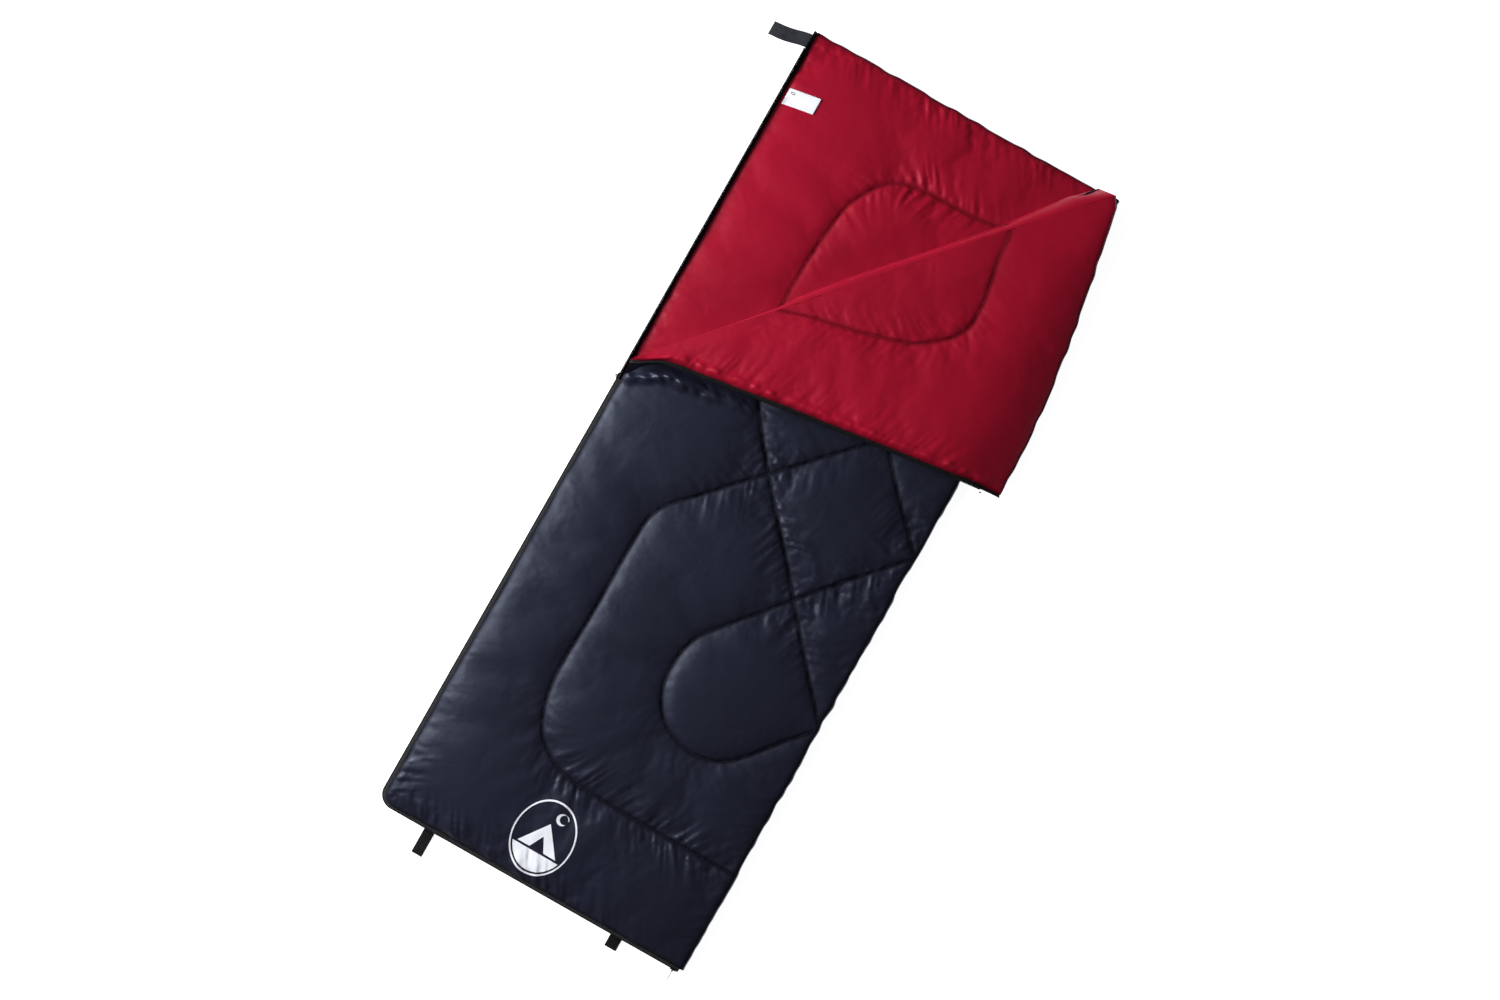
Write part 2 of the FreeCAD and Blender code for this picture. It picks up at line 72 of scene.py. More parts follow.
base_low, base_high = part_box("base_shell")
HALF_WIDTH = base_high.x
HALF_LENGTH = base_high.y
HALF_LOFT = base_high.z - base_low.z
BASE_SEAM = base_high.z
COVER_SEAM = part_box("cover_shell")[0].z
CHAIN_HEIGHT = (BASE_SEAM + COVER_SEAM) / 2
ZIP_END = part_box("cover_zip_coil")[1].y
CHAIN_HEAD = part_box("base_zip_coil")[1].y
CHAIN_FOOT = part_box("base_zip_coil")[1].x
TAPE_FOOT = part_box("base_zip_tape")[1].x
CHAIN_IN = -HALF_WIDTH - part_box("base_zip_tape")[0].x
CHAIN_OUT = -HALF_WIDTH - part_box("base_zip_coil")[0].x
CHAIN_LOW = CHAIN_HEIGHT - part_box("base_zip_coil")[0].z
CHAIN_HIGH = CHAIN_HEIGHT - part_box("base_zip_coil")[1].z
CORNER_ROUND = 25 * MM

joints = {joint["name"]: joint for joint in frame["joints"]}
fold_place = joints["flap_fold"]["pos_m"]
fold_axis = joints["flap_fold"]["axis"]
FOLD_START = np.array(fold_place[:2])
FOLD_HEIGHT = fold_place[2]
FOLD_ALONG = -np.array(fold_axis[:2]) / math.hypot(*fold_axis[:2])
FOLD_OUT = np.array([-FOLD_ALONG[1], FOLD_ALONG[0]])
FOLD_REACH = (HALF_LENGTH - FOLD_START[1]) / FOLD_ALONG[1]
FOLD_END = FOLD_START + FOLD_ALONG * FOLD_REACH
ZIP_CORNER = np.array([-HALF_WIDTH, HALF_LENGTH])

# ---- Camera, light and floor ----

VIEW_TURN = math.radians(29.6)
VIEW_DISTANCE = 4.4
VIEW_WIDTH = 3.22
SENSOR_WIDTH = 36
FLOOR_REACH = 30
FLOOR_DROP = 0.5 * MM
ROOM_COLOUR = (0.93, 0.95, 1)
ROOM_BRIGHTNESS = 0.13

# Each light's place to the right of the view, up it and above the floor, its side and its power.
LIGHTS = {
    "soft_low": ((-2.8, 1.3, 1.3), 1.6, 190),
    "soft_high": ((-2.1, 0.5, 2.7), 1.2, 42),
}


def make_camera():
    """Straight above the bag, turned so that the bag lies slantwise."""
    data = bpy.data.cameras.new("camera")
    data.sensor_width = SENSOR_WIDTH
    data.lens = data.sensor_width * VIEW_DISTANCE / VIEW_WIDTH
    data.clip_end = 50
    camera = bpy.data.objects.new("camera", data)
    camera.location = (0, 0, VIEW_DISTANCE + COVER_SEAM)
    camera.rotation_euler = (0, 0, VIEW_TURN)
    bpy.context.scene.collection.objects.link(camera)
    bpy.context.scene.camera = camera


def make_area_light(name, place, side, power):
    """A soft square light that faces the middle of the bag."""
    data = bpy.data.lights.new(name, "AREA")
    data.shape = "RECTANGLE"
    data.size = side
    data.size_y = side
    data.energy = power
    light = bpy.data.objects.new(name, data)
    light.location = place
    light.rotation_euler = (-Vector(place)).to_track_quat("-Z", "Y").to_euler()
    bpy.context.scene.collection.objects.link(light)


def make_stage():
    """A plain pale floor, a dim room and large soft lights from the zip side."""
    world = bpy.data.worlds.new("room")
    world.use_nodes = True
    background = world.node_tree.nodes["Background"]
    background.inputs["Color"].default_value = (*ROOM_COLOUR, 1)
    background.inputs["Strength"].default_value = ROOM_BRIGHTNESS
    bpy.context.scene.world = world
    bpy.context.scene.view_settings.view_transform = "Standard"

    mesh = bpy.data.meshes.new("floor")
    corners = [(-1, -1), (1, -1), (1, 1), (-1, 1)]
    mesh.from_pydata([(x * FLOOR_REACH, y * FLOOR_REACH, 0) for x, y in corners], [], [(0, 1, 2, 3)])
    floor = bpy.data.objects.new("floor", mesh)
    floor.location.z = -FLOOR_DROP
    bpy.context.scene.collection.objects.link(floor)
    material, shader, _ = new_material("floor", (0.9, 0.9, 0.9), roughness=0.9)
    shader.inputs["Specular IOR Level"].default_value = 0.1
    shader.inputs["Emission Color"].default_value = (1, 1, 1, 1)
    shader.inputs["Emission Strength"].default_value = 0.9
    mesh.materials.append(material)

    right = Vector((math.cos(VIEW_TURN), math.sin(VIEW_TURN), 0))
    up = Vector((-math.sin(VIEW_TURN), math.cos(VIEW_TURN), 0))
    for name, ((to_right, to_up, height), side, power) in LIGHTS.items():
        make_area_light(name, to_right * right + to_up * up + Vector((0, 0, height)), side, power)


# ---- Materials ----


def new_material(name, colour, roughness):
    """A material with one Principled shader, with that shader and its node tree."""
    material = bpy.data.materials.new(name)
    material.use_nodes = True
    tree = material.node_tree
    shader = tree.nodes["Principled BSDF"]
    shader.inputs["Base Color"].default_value = (*colour, 1)
    shader.inputs["Roughness"].default_value = roughness
    return material, shader, tree


def add_node(tree, kind, **values):
    """A node with its inputs set by name and its own properties by attribute."""
    node = tree.nodes.new(kind)
    for name, value in values.items():
        socket = name.replace("_", " ").title()
        if socket in node.inputs:
            node.inputs[socket].default_value = value
        else:
            setattr(node, name, value)
    return node


def add_noise(tree, place, scale, detail=3.0, distortion=0.0):
    noise = add_node(tree, "ShaderNodeTexNoise", scale=scale, detail=detail, distortion=distortion)
    tree.links.new(place, noise.inputs["Vector"])
    return noise.outputs["Fac"]


def add_bands(tree, place, direction, period):
    """Fine parallel ribs across a direction, one each period."""
    scale_of_one_band = math.pi / 10
    wave = add_node(tree, "ShaderNodeTexWave", bands_direction=direction, scale=scale_of_one_band / period)
    tree.links.new(place, wave.inputs["Vector"])
    return wave.outputs["Fac"]


def add_math(tree, operation, first, second):
    node = tree.nodes.new("ShaderNodeMath")
    node.operation = operation
    for socket, value in zip(node.inputs, (first, second)):
        if isinstance(value, (int, float)):
            socket.default_value = value
        else:
            tree.links.new(value, socket)
    return node.outputs[0]


def add_bump(tree, height, distance, strength=1.0, under=None):
    bump = add_node(tree, "ShaderNodeBump", distance=distance, strength=strength)
    tree.links.new(height, bump.inputs["Height"])
    if under is not None:
        tree.links.new(under, bump.inputs["Normal"])
    return bump.outputs["Normal"]


def vary_colour(tree, shader, factor, dark, pale):
    """Runs the base colour from dark to pale with a factor."""
    ramp = tree.nodes.new("ShaderNodeValToRGB")
    ramp.color_ramp.elements[0].position = 0.3
    ramp.color_ramp.elements[0].color = (*dark, 1)
    ramp.color_ramp.elements[1].position = 0.7
    ramp.color_ramp.elements[1].color = (*pale, 1)
    tree.links.new(factor, ramp.inputs["Fac"])
    tree.links.new(ramp.outputs["Color"], shader.inputs["Base Color"])


def vary_roughness(tree, shader, factor, low, high):
    spread = add_node(tree, "ShaderNodeMapRange", to_min=low, to_max=high)
    tree.links.new(factor, spread.inputs["Value"])
    tree.links.new(spread.outputs["Result"], shader.inputs["Roughness"])


def object_place(tree):
    return tree.nodes.new("ShaderNodeTexCoord").outputs["Object"]


def scaled(colour, share):
    return tuple(channel * share for channel in colour)


# Share of the painted shade in the stitched grooves, which also takes that share of the cloth's gloss, and
# how much rougher the grooves are.
GROOVE_SHADE_AND_GLOSS_LOSS = 0.85
GROOVE_DULLNESS = 0.4


def paint_groove_shade(tree, shader, colour):
    """Paints shade into the cloth's colour in its stitched grooves, which the seam attribute marks, and
    dulls the cloth there.
    """
    groove = add_node(tree, "ShaderNodeAttribute", attribute_name="seam").outputs["Fac"]
    # Painted shade: the cloth's colour is mixed towards the dark groove tone along the seams.
    painted_shade_share = add_math(tree, "MULTIPLY", groove, GROOVE_SHADE_AND_GLOSS_LOSS)
    mix = add_node(tree, "ShaderNodeMix", data_type="RGBA")
    colour_in = shader.inputs["Base Color"].links[0].from_socket
    tree.links.new(painted_shade_share, mix.inputs[0])
    first_colour, second_colour, mixed_colour = mix.inputs[6], mix.inputs[7], mix.outputs[2]
    tree.links.new(colour_in, first_colour)
    second_colour.default_value = (*colour, 1)
    tree.links.new(mixed_colour, shader.inputs["Base Color"])
    dullness = add_math(tree, "MULTIPLY", groove, GROOVE_DULLNESS)
    roughness_in = shader.inputs["Roughness"].links[0].from_socket
    tree.links.new(add_math(tree, "ADD", roughness_in, dullness), shader.inputs["Roughness"])
    gloss = shader.inputs["Specular IOR Level"].default_value
    lost_gloss = add_math(tree, "MULTIPLY", groove, GROOVE_SHADE_AND_GLOSS_LOSS * gloss)
    tree.links.new(add_math(tree, "SUBTRACT", gloss, lost_gloss), shader.inputs["Specular IOR Level"])


THREAD_PERIOD = 0.7 * MM


def nylon(name, colour, sheen, roughness, painted_groove_tone=0.15):
    """Thin plain-woven nylon: a fine weave, soft crumples, uneven tone, a satin sheen and painted shade in
    its stitched grooves.
    """
    material, shader, tree = new_material(name, colour, roughness)
    place = object_place(tree)
    tone = add_noise(tree, place, scale=4, detail=3)
    vary_colour(tree, shader, tone, scaled(colour, 0.90), scaled(colour, 1.10))
    vary_roughness(tree, shader, add_noise(tree, place, 14), roughness - 0.04, roughness + 0.05)
    warp = add_bands(tree, place, "X", THREAD_PERIOD)
    weft = add_bands(tree, place, "Y", THREAD_PERIOD)
    weave = add_math(tree, "MULTIPLY", warp, weft)
    soft = add_noise(tree, place, scale=11, detail=2, distortion=0.6)
    crisp = add_noise(tree, place, scale=80, detail=3, distortion=1.5)
    normal = add_bump(tree, soft, distance=2.0 * MM)
    normal = add_bump(tree, crisp, distance=0.16 * MM, under=normal)
    normal = add_bump(tree, weave, distance=0.05 * MM, strength=0.6, under=normal)
    tree.links.new(normal, shader.inputs["Normal"])
    shader.inputs["Specular IOR Level"].default_value = 0.36
    # Painted shade in the stitched grooves, down to this share of the cloth's colour.
    paint_groove_shade(tree, shader, scaled(colour, painted_groove_tone))
    shader.inputs["Specular Tint"].default_value = (*sheen, 1)
    shader.inputs["Sheen Weight"].default_value = 0.04
    shader.inputs["Sheen Roughness"].default_value = 0.3
    shader.inputs["Sheen Tint"].default_value = (*sheen, 1)
    return material


def webbing(name, colour, rib):
    """Ribbed woven tape, with one rib each rib metres along X and Y."""
    material, shader, tree = new_material(name, colour, roughness=0.6)
    place = object_place(tree)
    ribs = add_math(tree, "ADD", add_bands(tree, place, "X", rib), add_bands(tree, place, "Y", rib))
    vary_colour(tree, shader, add_noise(tree, place, 60), scaled(colour, 0.75), scaled(colour, 1.3))
    normal = add_bump(tree, ribs, distance=0.25 * MM)
    normal = add_bump(tree, add_noise(tree, place, 700), distance=0.1 * MM, under=normal)
    tree.links.new(normal, shader.inputs["Normal"])
    shader.inputs["Specular IOR Level"].default_value = 0.14
    shader.inputs["Sheen Weight"].default_value = 0.03
    shader.inputs["Sheen Roughness"].default_value = 0.5
    return material


def thread(name, colour):
    """Twisted sewing thread."""
    material, shader, tree = new_material(name, colour, roughness=0.55)
    twist = add_noise(tree, object_place(tree), scale=900, distortion=2)
    vary_colour(tree, shader, twist, scaled(colour, 0.7), scaled(colour, 1.4))
    tree.links.new(add_bump(tree, twist, distance=0.1 * MM), shader.inputs["Normal"])
    return material


def filling(name, colour):
    """White polyester fibres."""
    material, shader, tree = new_material(name, colour, roughness=0.9)
    fibres = add_noise(tree, object_place(tree), scale=300, detail=6, distortion=3)
    vary_colour(tree, shader, fibres, scaled(colour, 0.85), colour)
    tree.links.new(add_bump(tree, fibres, distance=1.5 * MM), shader.inputs["Normal"])
    shader.inputs["Sheen Weight"].default_value = 0.3
    return material


def plastic(name, colour, roughness):
    """Moulded nylon with a slightly uneven skin, for the teeth of the zip."""
    material, shader, tree = new_material(name, colour, roughness)
    skin = add_noise(tree, object_place(tree), scale=500)
    vary_colour(tree, shader, skin, scaled(colour, 0.8), scaled(colour, 1.25))
    tree.links.new(add_bump(tree, skin, distance=0.05 * MM), shader.inputs["Normal"])
    shader.inputs["Specular IOR Level"].default_value = 0.14
    return material


def metal(name, colour, roughness, metallic, wear):
    """Painted or bare metal with rubbed patches of another roughness."""
    material, shader, tree = new_material(name, colour, roughness)
    shader.inputs["Metallic"].default_value = metallic
    rubbed = add_noise(tree, object_place(tree), scale=350, detail=5)
    vary_colour(tree, shader, rubbed, colour, wear)
    vary_roughness(tree, shader, rubbed, roughness - 0.1, roughness + 0.12)
    tree.links.new(add_bump(tree, rubbed, distance=0.04 * MM), shader.inputs["Normal"])
    return material


NAVY = (0.0095, 0.0102, 0.0215)
RED = (0.310, 0.0036, 0.0195)
BLACK = (0.0035, 0.0038, 0.0050)
CHARCOAL = (0.024, 0.026, 0.032)
WHITE = (0.78, 0.80, 0.86)

SATIN_WHITE = (1, 1, 1)
BLUE_SHEEN = (0.72, 0.80, 1.0)
RED_SHEEN = (1.0, 0.50, 0.58)

MATERIALS = {
    "shell": nylon("navy_nylon", NAVY, BLUE_SHEEN, roughness=0.37),
    "lining": nylon("red_nylon", RED, RED_SHEEN, roughness=0.37, painted_groove_tone=0.42),
    "batting": filling("polyester_filling", (0.80, 0.80, 0.78)),
    "zip_tape": webbing("zip_tape_weave", BLACK, rib=1.1 * MM),
    "zip_coil": plastic("zip_teeth", BLACK, roughness=0.45),
    "zip_stop": metal("zip_stop_metal", (0.42, 0.42, 0.43), 0.32, 1.0, (0.30, 0.30, 0.31)),
    "slider": metal("slider_enamel", (0.012, 0.012, 0.014), 0.30, 0.0, (0.05, 0.05, 0.055)),
    "pull": metal("pull_metal", (0.33, 0.33, 0.34), 0.35, 1.0, (0.20, 0.20, 0.21)),
    "webbing": webbing("strap_weave", CHARCOAL, rib=1.6 * MM),
    "black_webbing": webbing("loop_weave", BLACK, rib=1.4 * MM),
    "label": nylon("label_satin", WHITE, SATIN_WHITE, roughness=0.45),
    "print": nylon("white_print", WHITE, SATIN_WHITE, roughness=0.6),
    "red_thread": thread("red_thread", scaled(RED, 0.6)),
    "navy_thread": thread("navy_thread", scaled(NAVY, 1.3)),
    "grey_thread": thread("grey_thread", (0.06, 0.065, 0.08)),
}

# ---- Mesh helpers ----


def add_piece(name, points, faces, material, smooth=True):
    """A mesh piece from points and faces, with a material from the materials table."""
    mesh = bpy.data.meshes.new(name)
    mesh.from_pydata([tuple(p) for p in np.asarray(points, float)], [], [tuple(f) for f in faces])
    mesh.polygons.foreach_set("use_smooth", [smooth] * len(mesh.polygons))
    mesh.materials.append(MATERIALS[material])
    mesh.validate()
    piece = bpy.data.objects.new(name, mesh)
    bpy.context.scene.collection.objects.link(piece)
    return piece


def fade(share):
    """A smooth step from 0 to 1."""
    share = np.clip(share, 0, 1)
    return share * share * (3 - 2 * share)


def mottle(x, y, seed, cells=64):
    """Smooth noise from -1 to 1 with one hill or hollow for each unit of x and y."""
    table = np.random.default_rng(seed).uniform(-1, 1, (cells, cells))
    column = np.floor(x).astype(int)
    row = np.floor(y).astype(int)
    across = fade(x - column)
    up = fade(y - row)

    def along_row(number):
        left = table[column % cells, number % cells]
        right = table[(column + 1) % cells, number % cells]
        return left * (1 - across) + right * across

    return along_row(row) * (1 - up) + along_row(row + 1) * up


def plain(places):
    """Leaves places as they are, for pieces that need no further shaping."""
    return places


def smooth_route(points, spacing):
    """A smooth curve through points, as places about spacing apart."""
    inner = np.array(points, float)
    before = 2 * inner[0] - inner[1]
    after = 2 * inner[-1] - inner[-2]
    knots = np.vstack([before, inner, after])
    pieces = []
    for a, b, c, d in zip(knots, knots[1:], knots[2:], knots[3:]):
        count = max(2, round(np.linalg.norm(c - b) / spacing))
        t = np.linspace(0, 1, count, endpoint=False)[:, None]
        curve = 2 * b + (c - a) * t + (2 * a - 5 * b + 4 * c - d) * t**2 + (3 * b - a - 3 * c + d) * t**3
        pieces.append(curve / 2)
    return np.vstack([*pieces, inner[-1:]])


def straight_route(start, end, spacing):
    """A straight line, as places about spacing apart."""
    count = round(math.dist(start, end) / spacing) + 1
    return np.linspace(start, end, count)


def grid_faces(rows, columns, around=False):
    """Quads of a grid of rows by columns points, closed round its columns if around is true."""
    faces = []
    for row in range(rows - 1):
        for column in range(columns if around else columns - 1):
            after = (column + 1) % columns
            faces.append((row * columns + column, row * columns + after,
                          (row + 1) * columns + after, (row + 1) * columns + column))
    return faces


def tube_faces(rings, around):
    """Faces of a closed tube of rings with around points each, capped at both ends."""
    first_cap = tuple(range(around))[::-1]
    last_cap = tuple(range((rings - 1) * around, rings * around))
    return [*grid_faces(rings, around, around=True), first_cap, last_cap]


def face_edges(faces):
    """The three edges of each triangle, as pairs of points in the triangle's own direction."""
    return faces[:, [[0, 1], [1, 2], [2, 0]]].reshape(-1, 2)


def flat_tree(points):
    """A search tree of flat points."""
    tree = KDTree(len(points))
    for number, (x, y) in enumerate(points):
        tree.insert((x, y, 0), number)
    tree.balance()
    return tree


def nearest_finder(points):
    """Finds the nearest of some flat points, with its number and its distance."""
    tree = flat_tree(points)
    return lambda x, y: tree.find((x, y, 0))


# ---- The quilting ----
# Each layer has the same quilting: two arches and two drops that end on the joined side, given as
# (distance in from the joined side, distance up from the foot).

ARCH_FOOT = [(0, 0.232), (0.29, 0.232), (0.42, 0.24), (0.495, 0.28), (0.53, 0.335), (0.547, 0.42),
             (0.544, 0.58), (0.544, 0.755), (0.53, 0.835), (0.465, 0.91), (0.363, 1.018), (0.215, 1.174),
             (0, 1.41)]
ARCH_HEAD = [(0, 0.60), (0.127, 0.743), (0.248, 0.887), (0.363, 1.018), (0.456, 1.14), (0.51, 1.25),
             (0.518, 1.42), (0.508, 1.56), (0.49, 1.63), (0.44, 1.695), (0.37, 1.716), (0.23, 1.722),
             (0, 1.76)]
DROP_FOOT = [(0, 0.592), (0.052, 0.533), (0.131, 0.441), (0.21, 0.415), (0.285, 0.44), (0.329, 0.495),
             (0.34, 0.565), (0.325, 0.632), (0.277, 0.696), (0.182, 0.809), (0.125, 0.878), (0, 1.015)]
DROP_HEAD = [(0, 1.015), (0.111, 1.13), (0.185, 1.216), (0.277, 1.33), (0.325, 1.394), (0.34, 1.461),
             (0.329, 1.531), (0.285, 1.586), (0.21, 1.611), (0.131, 1.585), (0, 1.434)]

PANEL_SPACING = 9 * MM
PANEL_SCATTER = 0.15
CORNER_STEPS = 6
SEAM_CLEARANCE = 0.6


def on_bag(points):
    """Quilting places as x and y."""
    inward, up = np.array(points, float).T
    return np.column_stack([HALF_WIDTH - inward, up - HALF_LENGTH])


def quilting_routes(spacing):
    """The quilting seams, as places about spacing apart."""
    patterns = (ARCH_FOOT, ARCH_HEAD, DROP_FOOT, DROP_HEAD)
    return [smooth_route(on_bag(pattern), spacing) for pattern in patterns]


def outline_routes(spacing):
    """The four sides of the bag, with the foot's zip corner rounded."""
    side_end = (-HALF_WIDTH, CORNER_ROUND - HALF_LENGTH)
    foot_start = (CORNER_ROUND - HALF_WIDTH, -HALF_LENGTH)
    angles = np.linspace(math.pi, 1.5 * math.pi, CORNER_STEPS)
    centre = np.array([foot_start[0], side_end[1]])
    corner = centre + CORNER_ROUND * np.column_stack([np.cos(angles), np.sin(angles)])
    return [
        straight_route((-HALF_WIDTH, HALF_LENGTH), side_end, spacing),
        corner,
        straight_route(foot_start, (HALF_WIDTH, -HALF_LENGTH), spacing),
        straight_route((HALF_WIDTH, -HALF_LENGTH), (HALF_WIDTH, HALF_LENGTH), spacing),
        straight_route((HALF_WIDTH, HALF_LENGTH), (-HALF_WIDTH, HALF_LENGTH), spacing),
    ]


def fold_route(spacing):
    """The line that the corner is turned back over."""
    return straight_route(FOLD_START, FOLD_END, spacing)


def triangulate_panel(spacing):
    """The flat panel of a layer as triangles that follow the seams, the outline and the fold.
    Gives the points, the triangles and which points are sewn down."""
    random = np.random.default_rng(5)
    sewn = [*quilting_routes(spacing), *outline_routes(spacing)]
    points = []
    edges = []
    for route in [*sewn, fold_route(spacing)]:
        first = len(points)
        points += [tuple(place) for place in route]
        edges += [(first + i, first + i + 1) for i in range(len(route) - 1)]
    to_route = nearest_finder(points)
    row_height = spacing * math.sqrt(3) / 2
    corner = np.array([CORNER_ROUND - HALF_WIDTH, CORNER_ROUND - HALF_LENGTH])
    for row, y in enumerate(np.arange(row_height / 2 - HALF_LENGTH, HALF_LENGTH, row_height)):
        start = spacing / 2 * (1 + row % 2) - HALF_WIDTH
        for x in np.arange(start, HALF_WIDTH, spacing):
            place = np.array([x, y]) + random.uniform(-PANEL_SCATTER, PANEL_SCATTER, 2) * spacing
            cut_off = (place < corner).all() and math.dist(place, corner) > CORNER_ROUND - spacing / 2
            if to_route(*place)[2] > SEAM_CLEARANCE * spacing and not cut_off:
                points.append(tuple(place))
    made = delaunay_2d_cdt([Vector(place) for place in points], edges, [], 0, 1e-5)
    flat = np.array([tuple(vertex) for vertex in made[0]])
    faces = np.array([face for face in made[2] if len(face) == 3])
    middles = flat[faces].mean(axis=1)
    beyond = (middles < corner).all(axis=1) & (np.linalg.norm(middles - corner, axis=1) > CORNER_ROUND)
    to_seam = nearest_finder(np.vstack([*quilting_routes(MM), *outline_routes(MM)]))
    held = np.array([to_seam(x, y)[2] < MM for x, y in flat])
    return flat, faces[~beyond], held


def refine(values, faces, held):
    """One round of Loop subdivision of triangles, in which the held points and seams stay."""
    edges, which = np.unique(np.sort(face_edges(faces), axis=1), axis=0, return_inverse=True)
    which = which.ravel()
    opposite = np.zeros((len(edges), values.shape[1]))
    np.add.at(opposite, which, values[faces[:, [2, 0, 1]].ravel()])
    inner = np.bincount(which) == 2
    seam = held[edges].all(axis=1)
    ends = values[edges].sum(axis=1)
    middles = np.where((inner & ~seam)[:, None], ends * 3 / 8 + opposite / 8, ends / 2)
    around = np.zeros_like(values)
    np.add.at(around, edges[:, 0], values[edges[:, 1]])
    np.add.at(around, edges[:, 1], values[edges[:, 0]])
    count = np.bincount(edges.ravel(), minlength=len(values))[:, None]
    rim = np.zeros(len(values), bool)
    rim[edges[~inner].ravel()] = True
    moved = values * 5 / 8 + around / count * 3 / 8
    moved[held | rim] = values[held | rim]
    middle_of = which.reshape(-1, 3) + len(values)
    a, b, c = faces.T
    ab, bc, ca = middle_of.T
    finer = [(a, ab, ca), (b, bc, ab), (c, ca, bc), (ab, bc, ca)]
    faces = np.vstack([np.column_stack(group) for group in finer])
    return np.vstack([moved, middles]), faces, np.concatenate([held, seam])


# ---- Cloth simulation ----

SIMULATED_FRAMES = 15
EXTRA_CLOTH = 0.035
FIRST_LIFT = 1.5 * MM


def inflate(flat, faces, held, seed):
    """Blows a panel of cloth up from its seams and gives each point's move from the flat panel.
    The cloth is cut a little larger than the seams' pattern, so that it puckers along them."""
    random = np.random.default_rng(seed)
    start = np.column_stack([flat, np.where(held, 0, FIRST_LIFT + random.uniform(-MM, MM, len(flat)))])
    mesh = bpy.data.meshes.new("cloth")
    mesh.from_pydata(start.tolist(), [], faces.tolist())
    cloth = bpy.data.objects.new("cloth", mesh)
    bpy.context.scene.collection.objects.link(cloth)
    group = cloth.vertex_groups.new(name="sewn")
    group.add([int(i) for i in np.nonzero(held)[0]], 1, "REPLACE")
    modifier = cloth.modifiers.new("cloth", "CLOTH")
    settings = modifier.settings
    settings.quality = 4
    settings.mass = 0.15
    settings.tension_stiffness = 15
    settings.compression_stiffness = 15
    settings.shear_stiffness = 5
    settings.bending_stiffness = 0.05
    settings.vertex_group_mass = group.name
    settings.shrink_min = -EXTRA_CLOTH
    settings.shrink_max = -EXTRA_CLOTH
    settings.use_pressure = True
    settings.uniform_pressure_force = 6
    settings.effector_weights.gravity = 0
    modifier.collision_settings.use_collision = False
    modifier.point_cache.frame_start = 1
    modifier.point_cache.frame_end = SIMULATED_FRAMES
    for step in range(1, SIMULATED_FRAMES + 1):
        bpy.context.scene.frame_set(step)
    result = cloth.evaluated_get(bpy.context.evaluated_depsgraph_get()).data
    places = np.empty(len(flat) * 3, np.float32)
    result.vertices.foreach_get("co", places)
    bpy.data.objects.remove(cloth)
    bpy.data.meshes.remove(mesh)
    bpy.context.scene.frame_set(1)
    return places.reshape(-1, 3) - np.column_stack([flat, np.zeros(len(flat))])


# ---- A quilted sheet: one cloth face of a layer ----

TOP_LOFT = HALF_LOFT * 0.97
PUFF_CROWN = 1.2
PUFF_FULLNESS = 0.72
HIGH_PERCENTILE = 97
WRINKLES = 0.12
WRINKLES_AT_SPOTS = 0.5
PUCKER_HEIGHT = 2.0 * MM
PUCKERS = 0.08
PUCKER_RISE = 16 * MM
PUCKER_REACH = 48 * MM
# Reach of the painted shade and the dullness on each side of a seam.
GROOVE_REACH = 6.5 * MM
FOLD_ROUNDING = 55 * MM
SEAM_GAP = 0.15 * MM
CALMING_ROUNDS = 12


def calmed(values, faces, held):
    """Values with their small wrinkles averaged away, as batting fills them out."""
    edges = np.unique(np.sort(face_edges(faces), axis=1), axis=0)
    count = np.bincount(edges.ravel(), minlength=len(values))[:, None]
    for _ in range(CALMING_ROUNDS):
        around = np.zeros_like(values)
        np.add.at(around, edges[:, 0], values[edges[:, 1]])
        np.add.at(around, edges[:, 1], values[edges[:, 0]])
        values = np.where(held[:, None], values, (values + around / count) / 2)
    return values


def near_spots(places, spots):
    """How near places are to puckered spots of (inward, up, reach): 1 at a spot, 0 far away."""
    nearness = np.zeros(len(places))
    for inward, up, reach in spots:
        away = np.linalg.norm(places - on_bag([(inward, up)])[0], axis=1)
        nearness += np.exp(-((away / reach) ** 2))
    return np.minimum(nearness, 1)


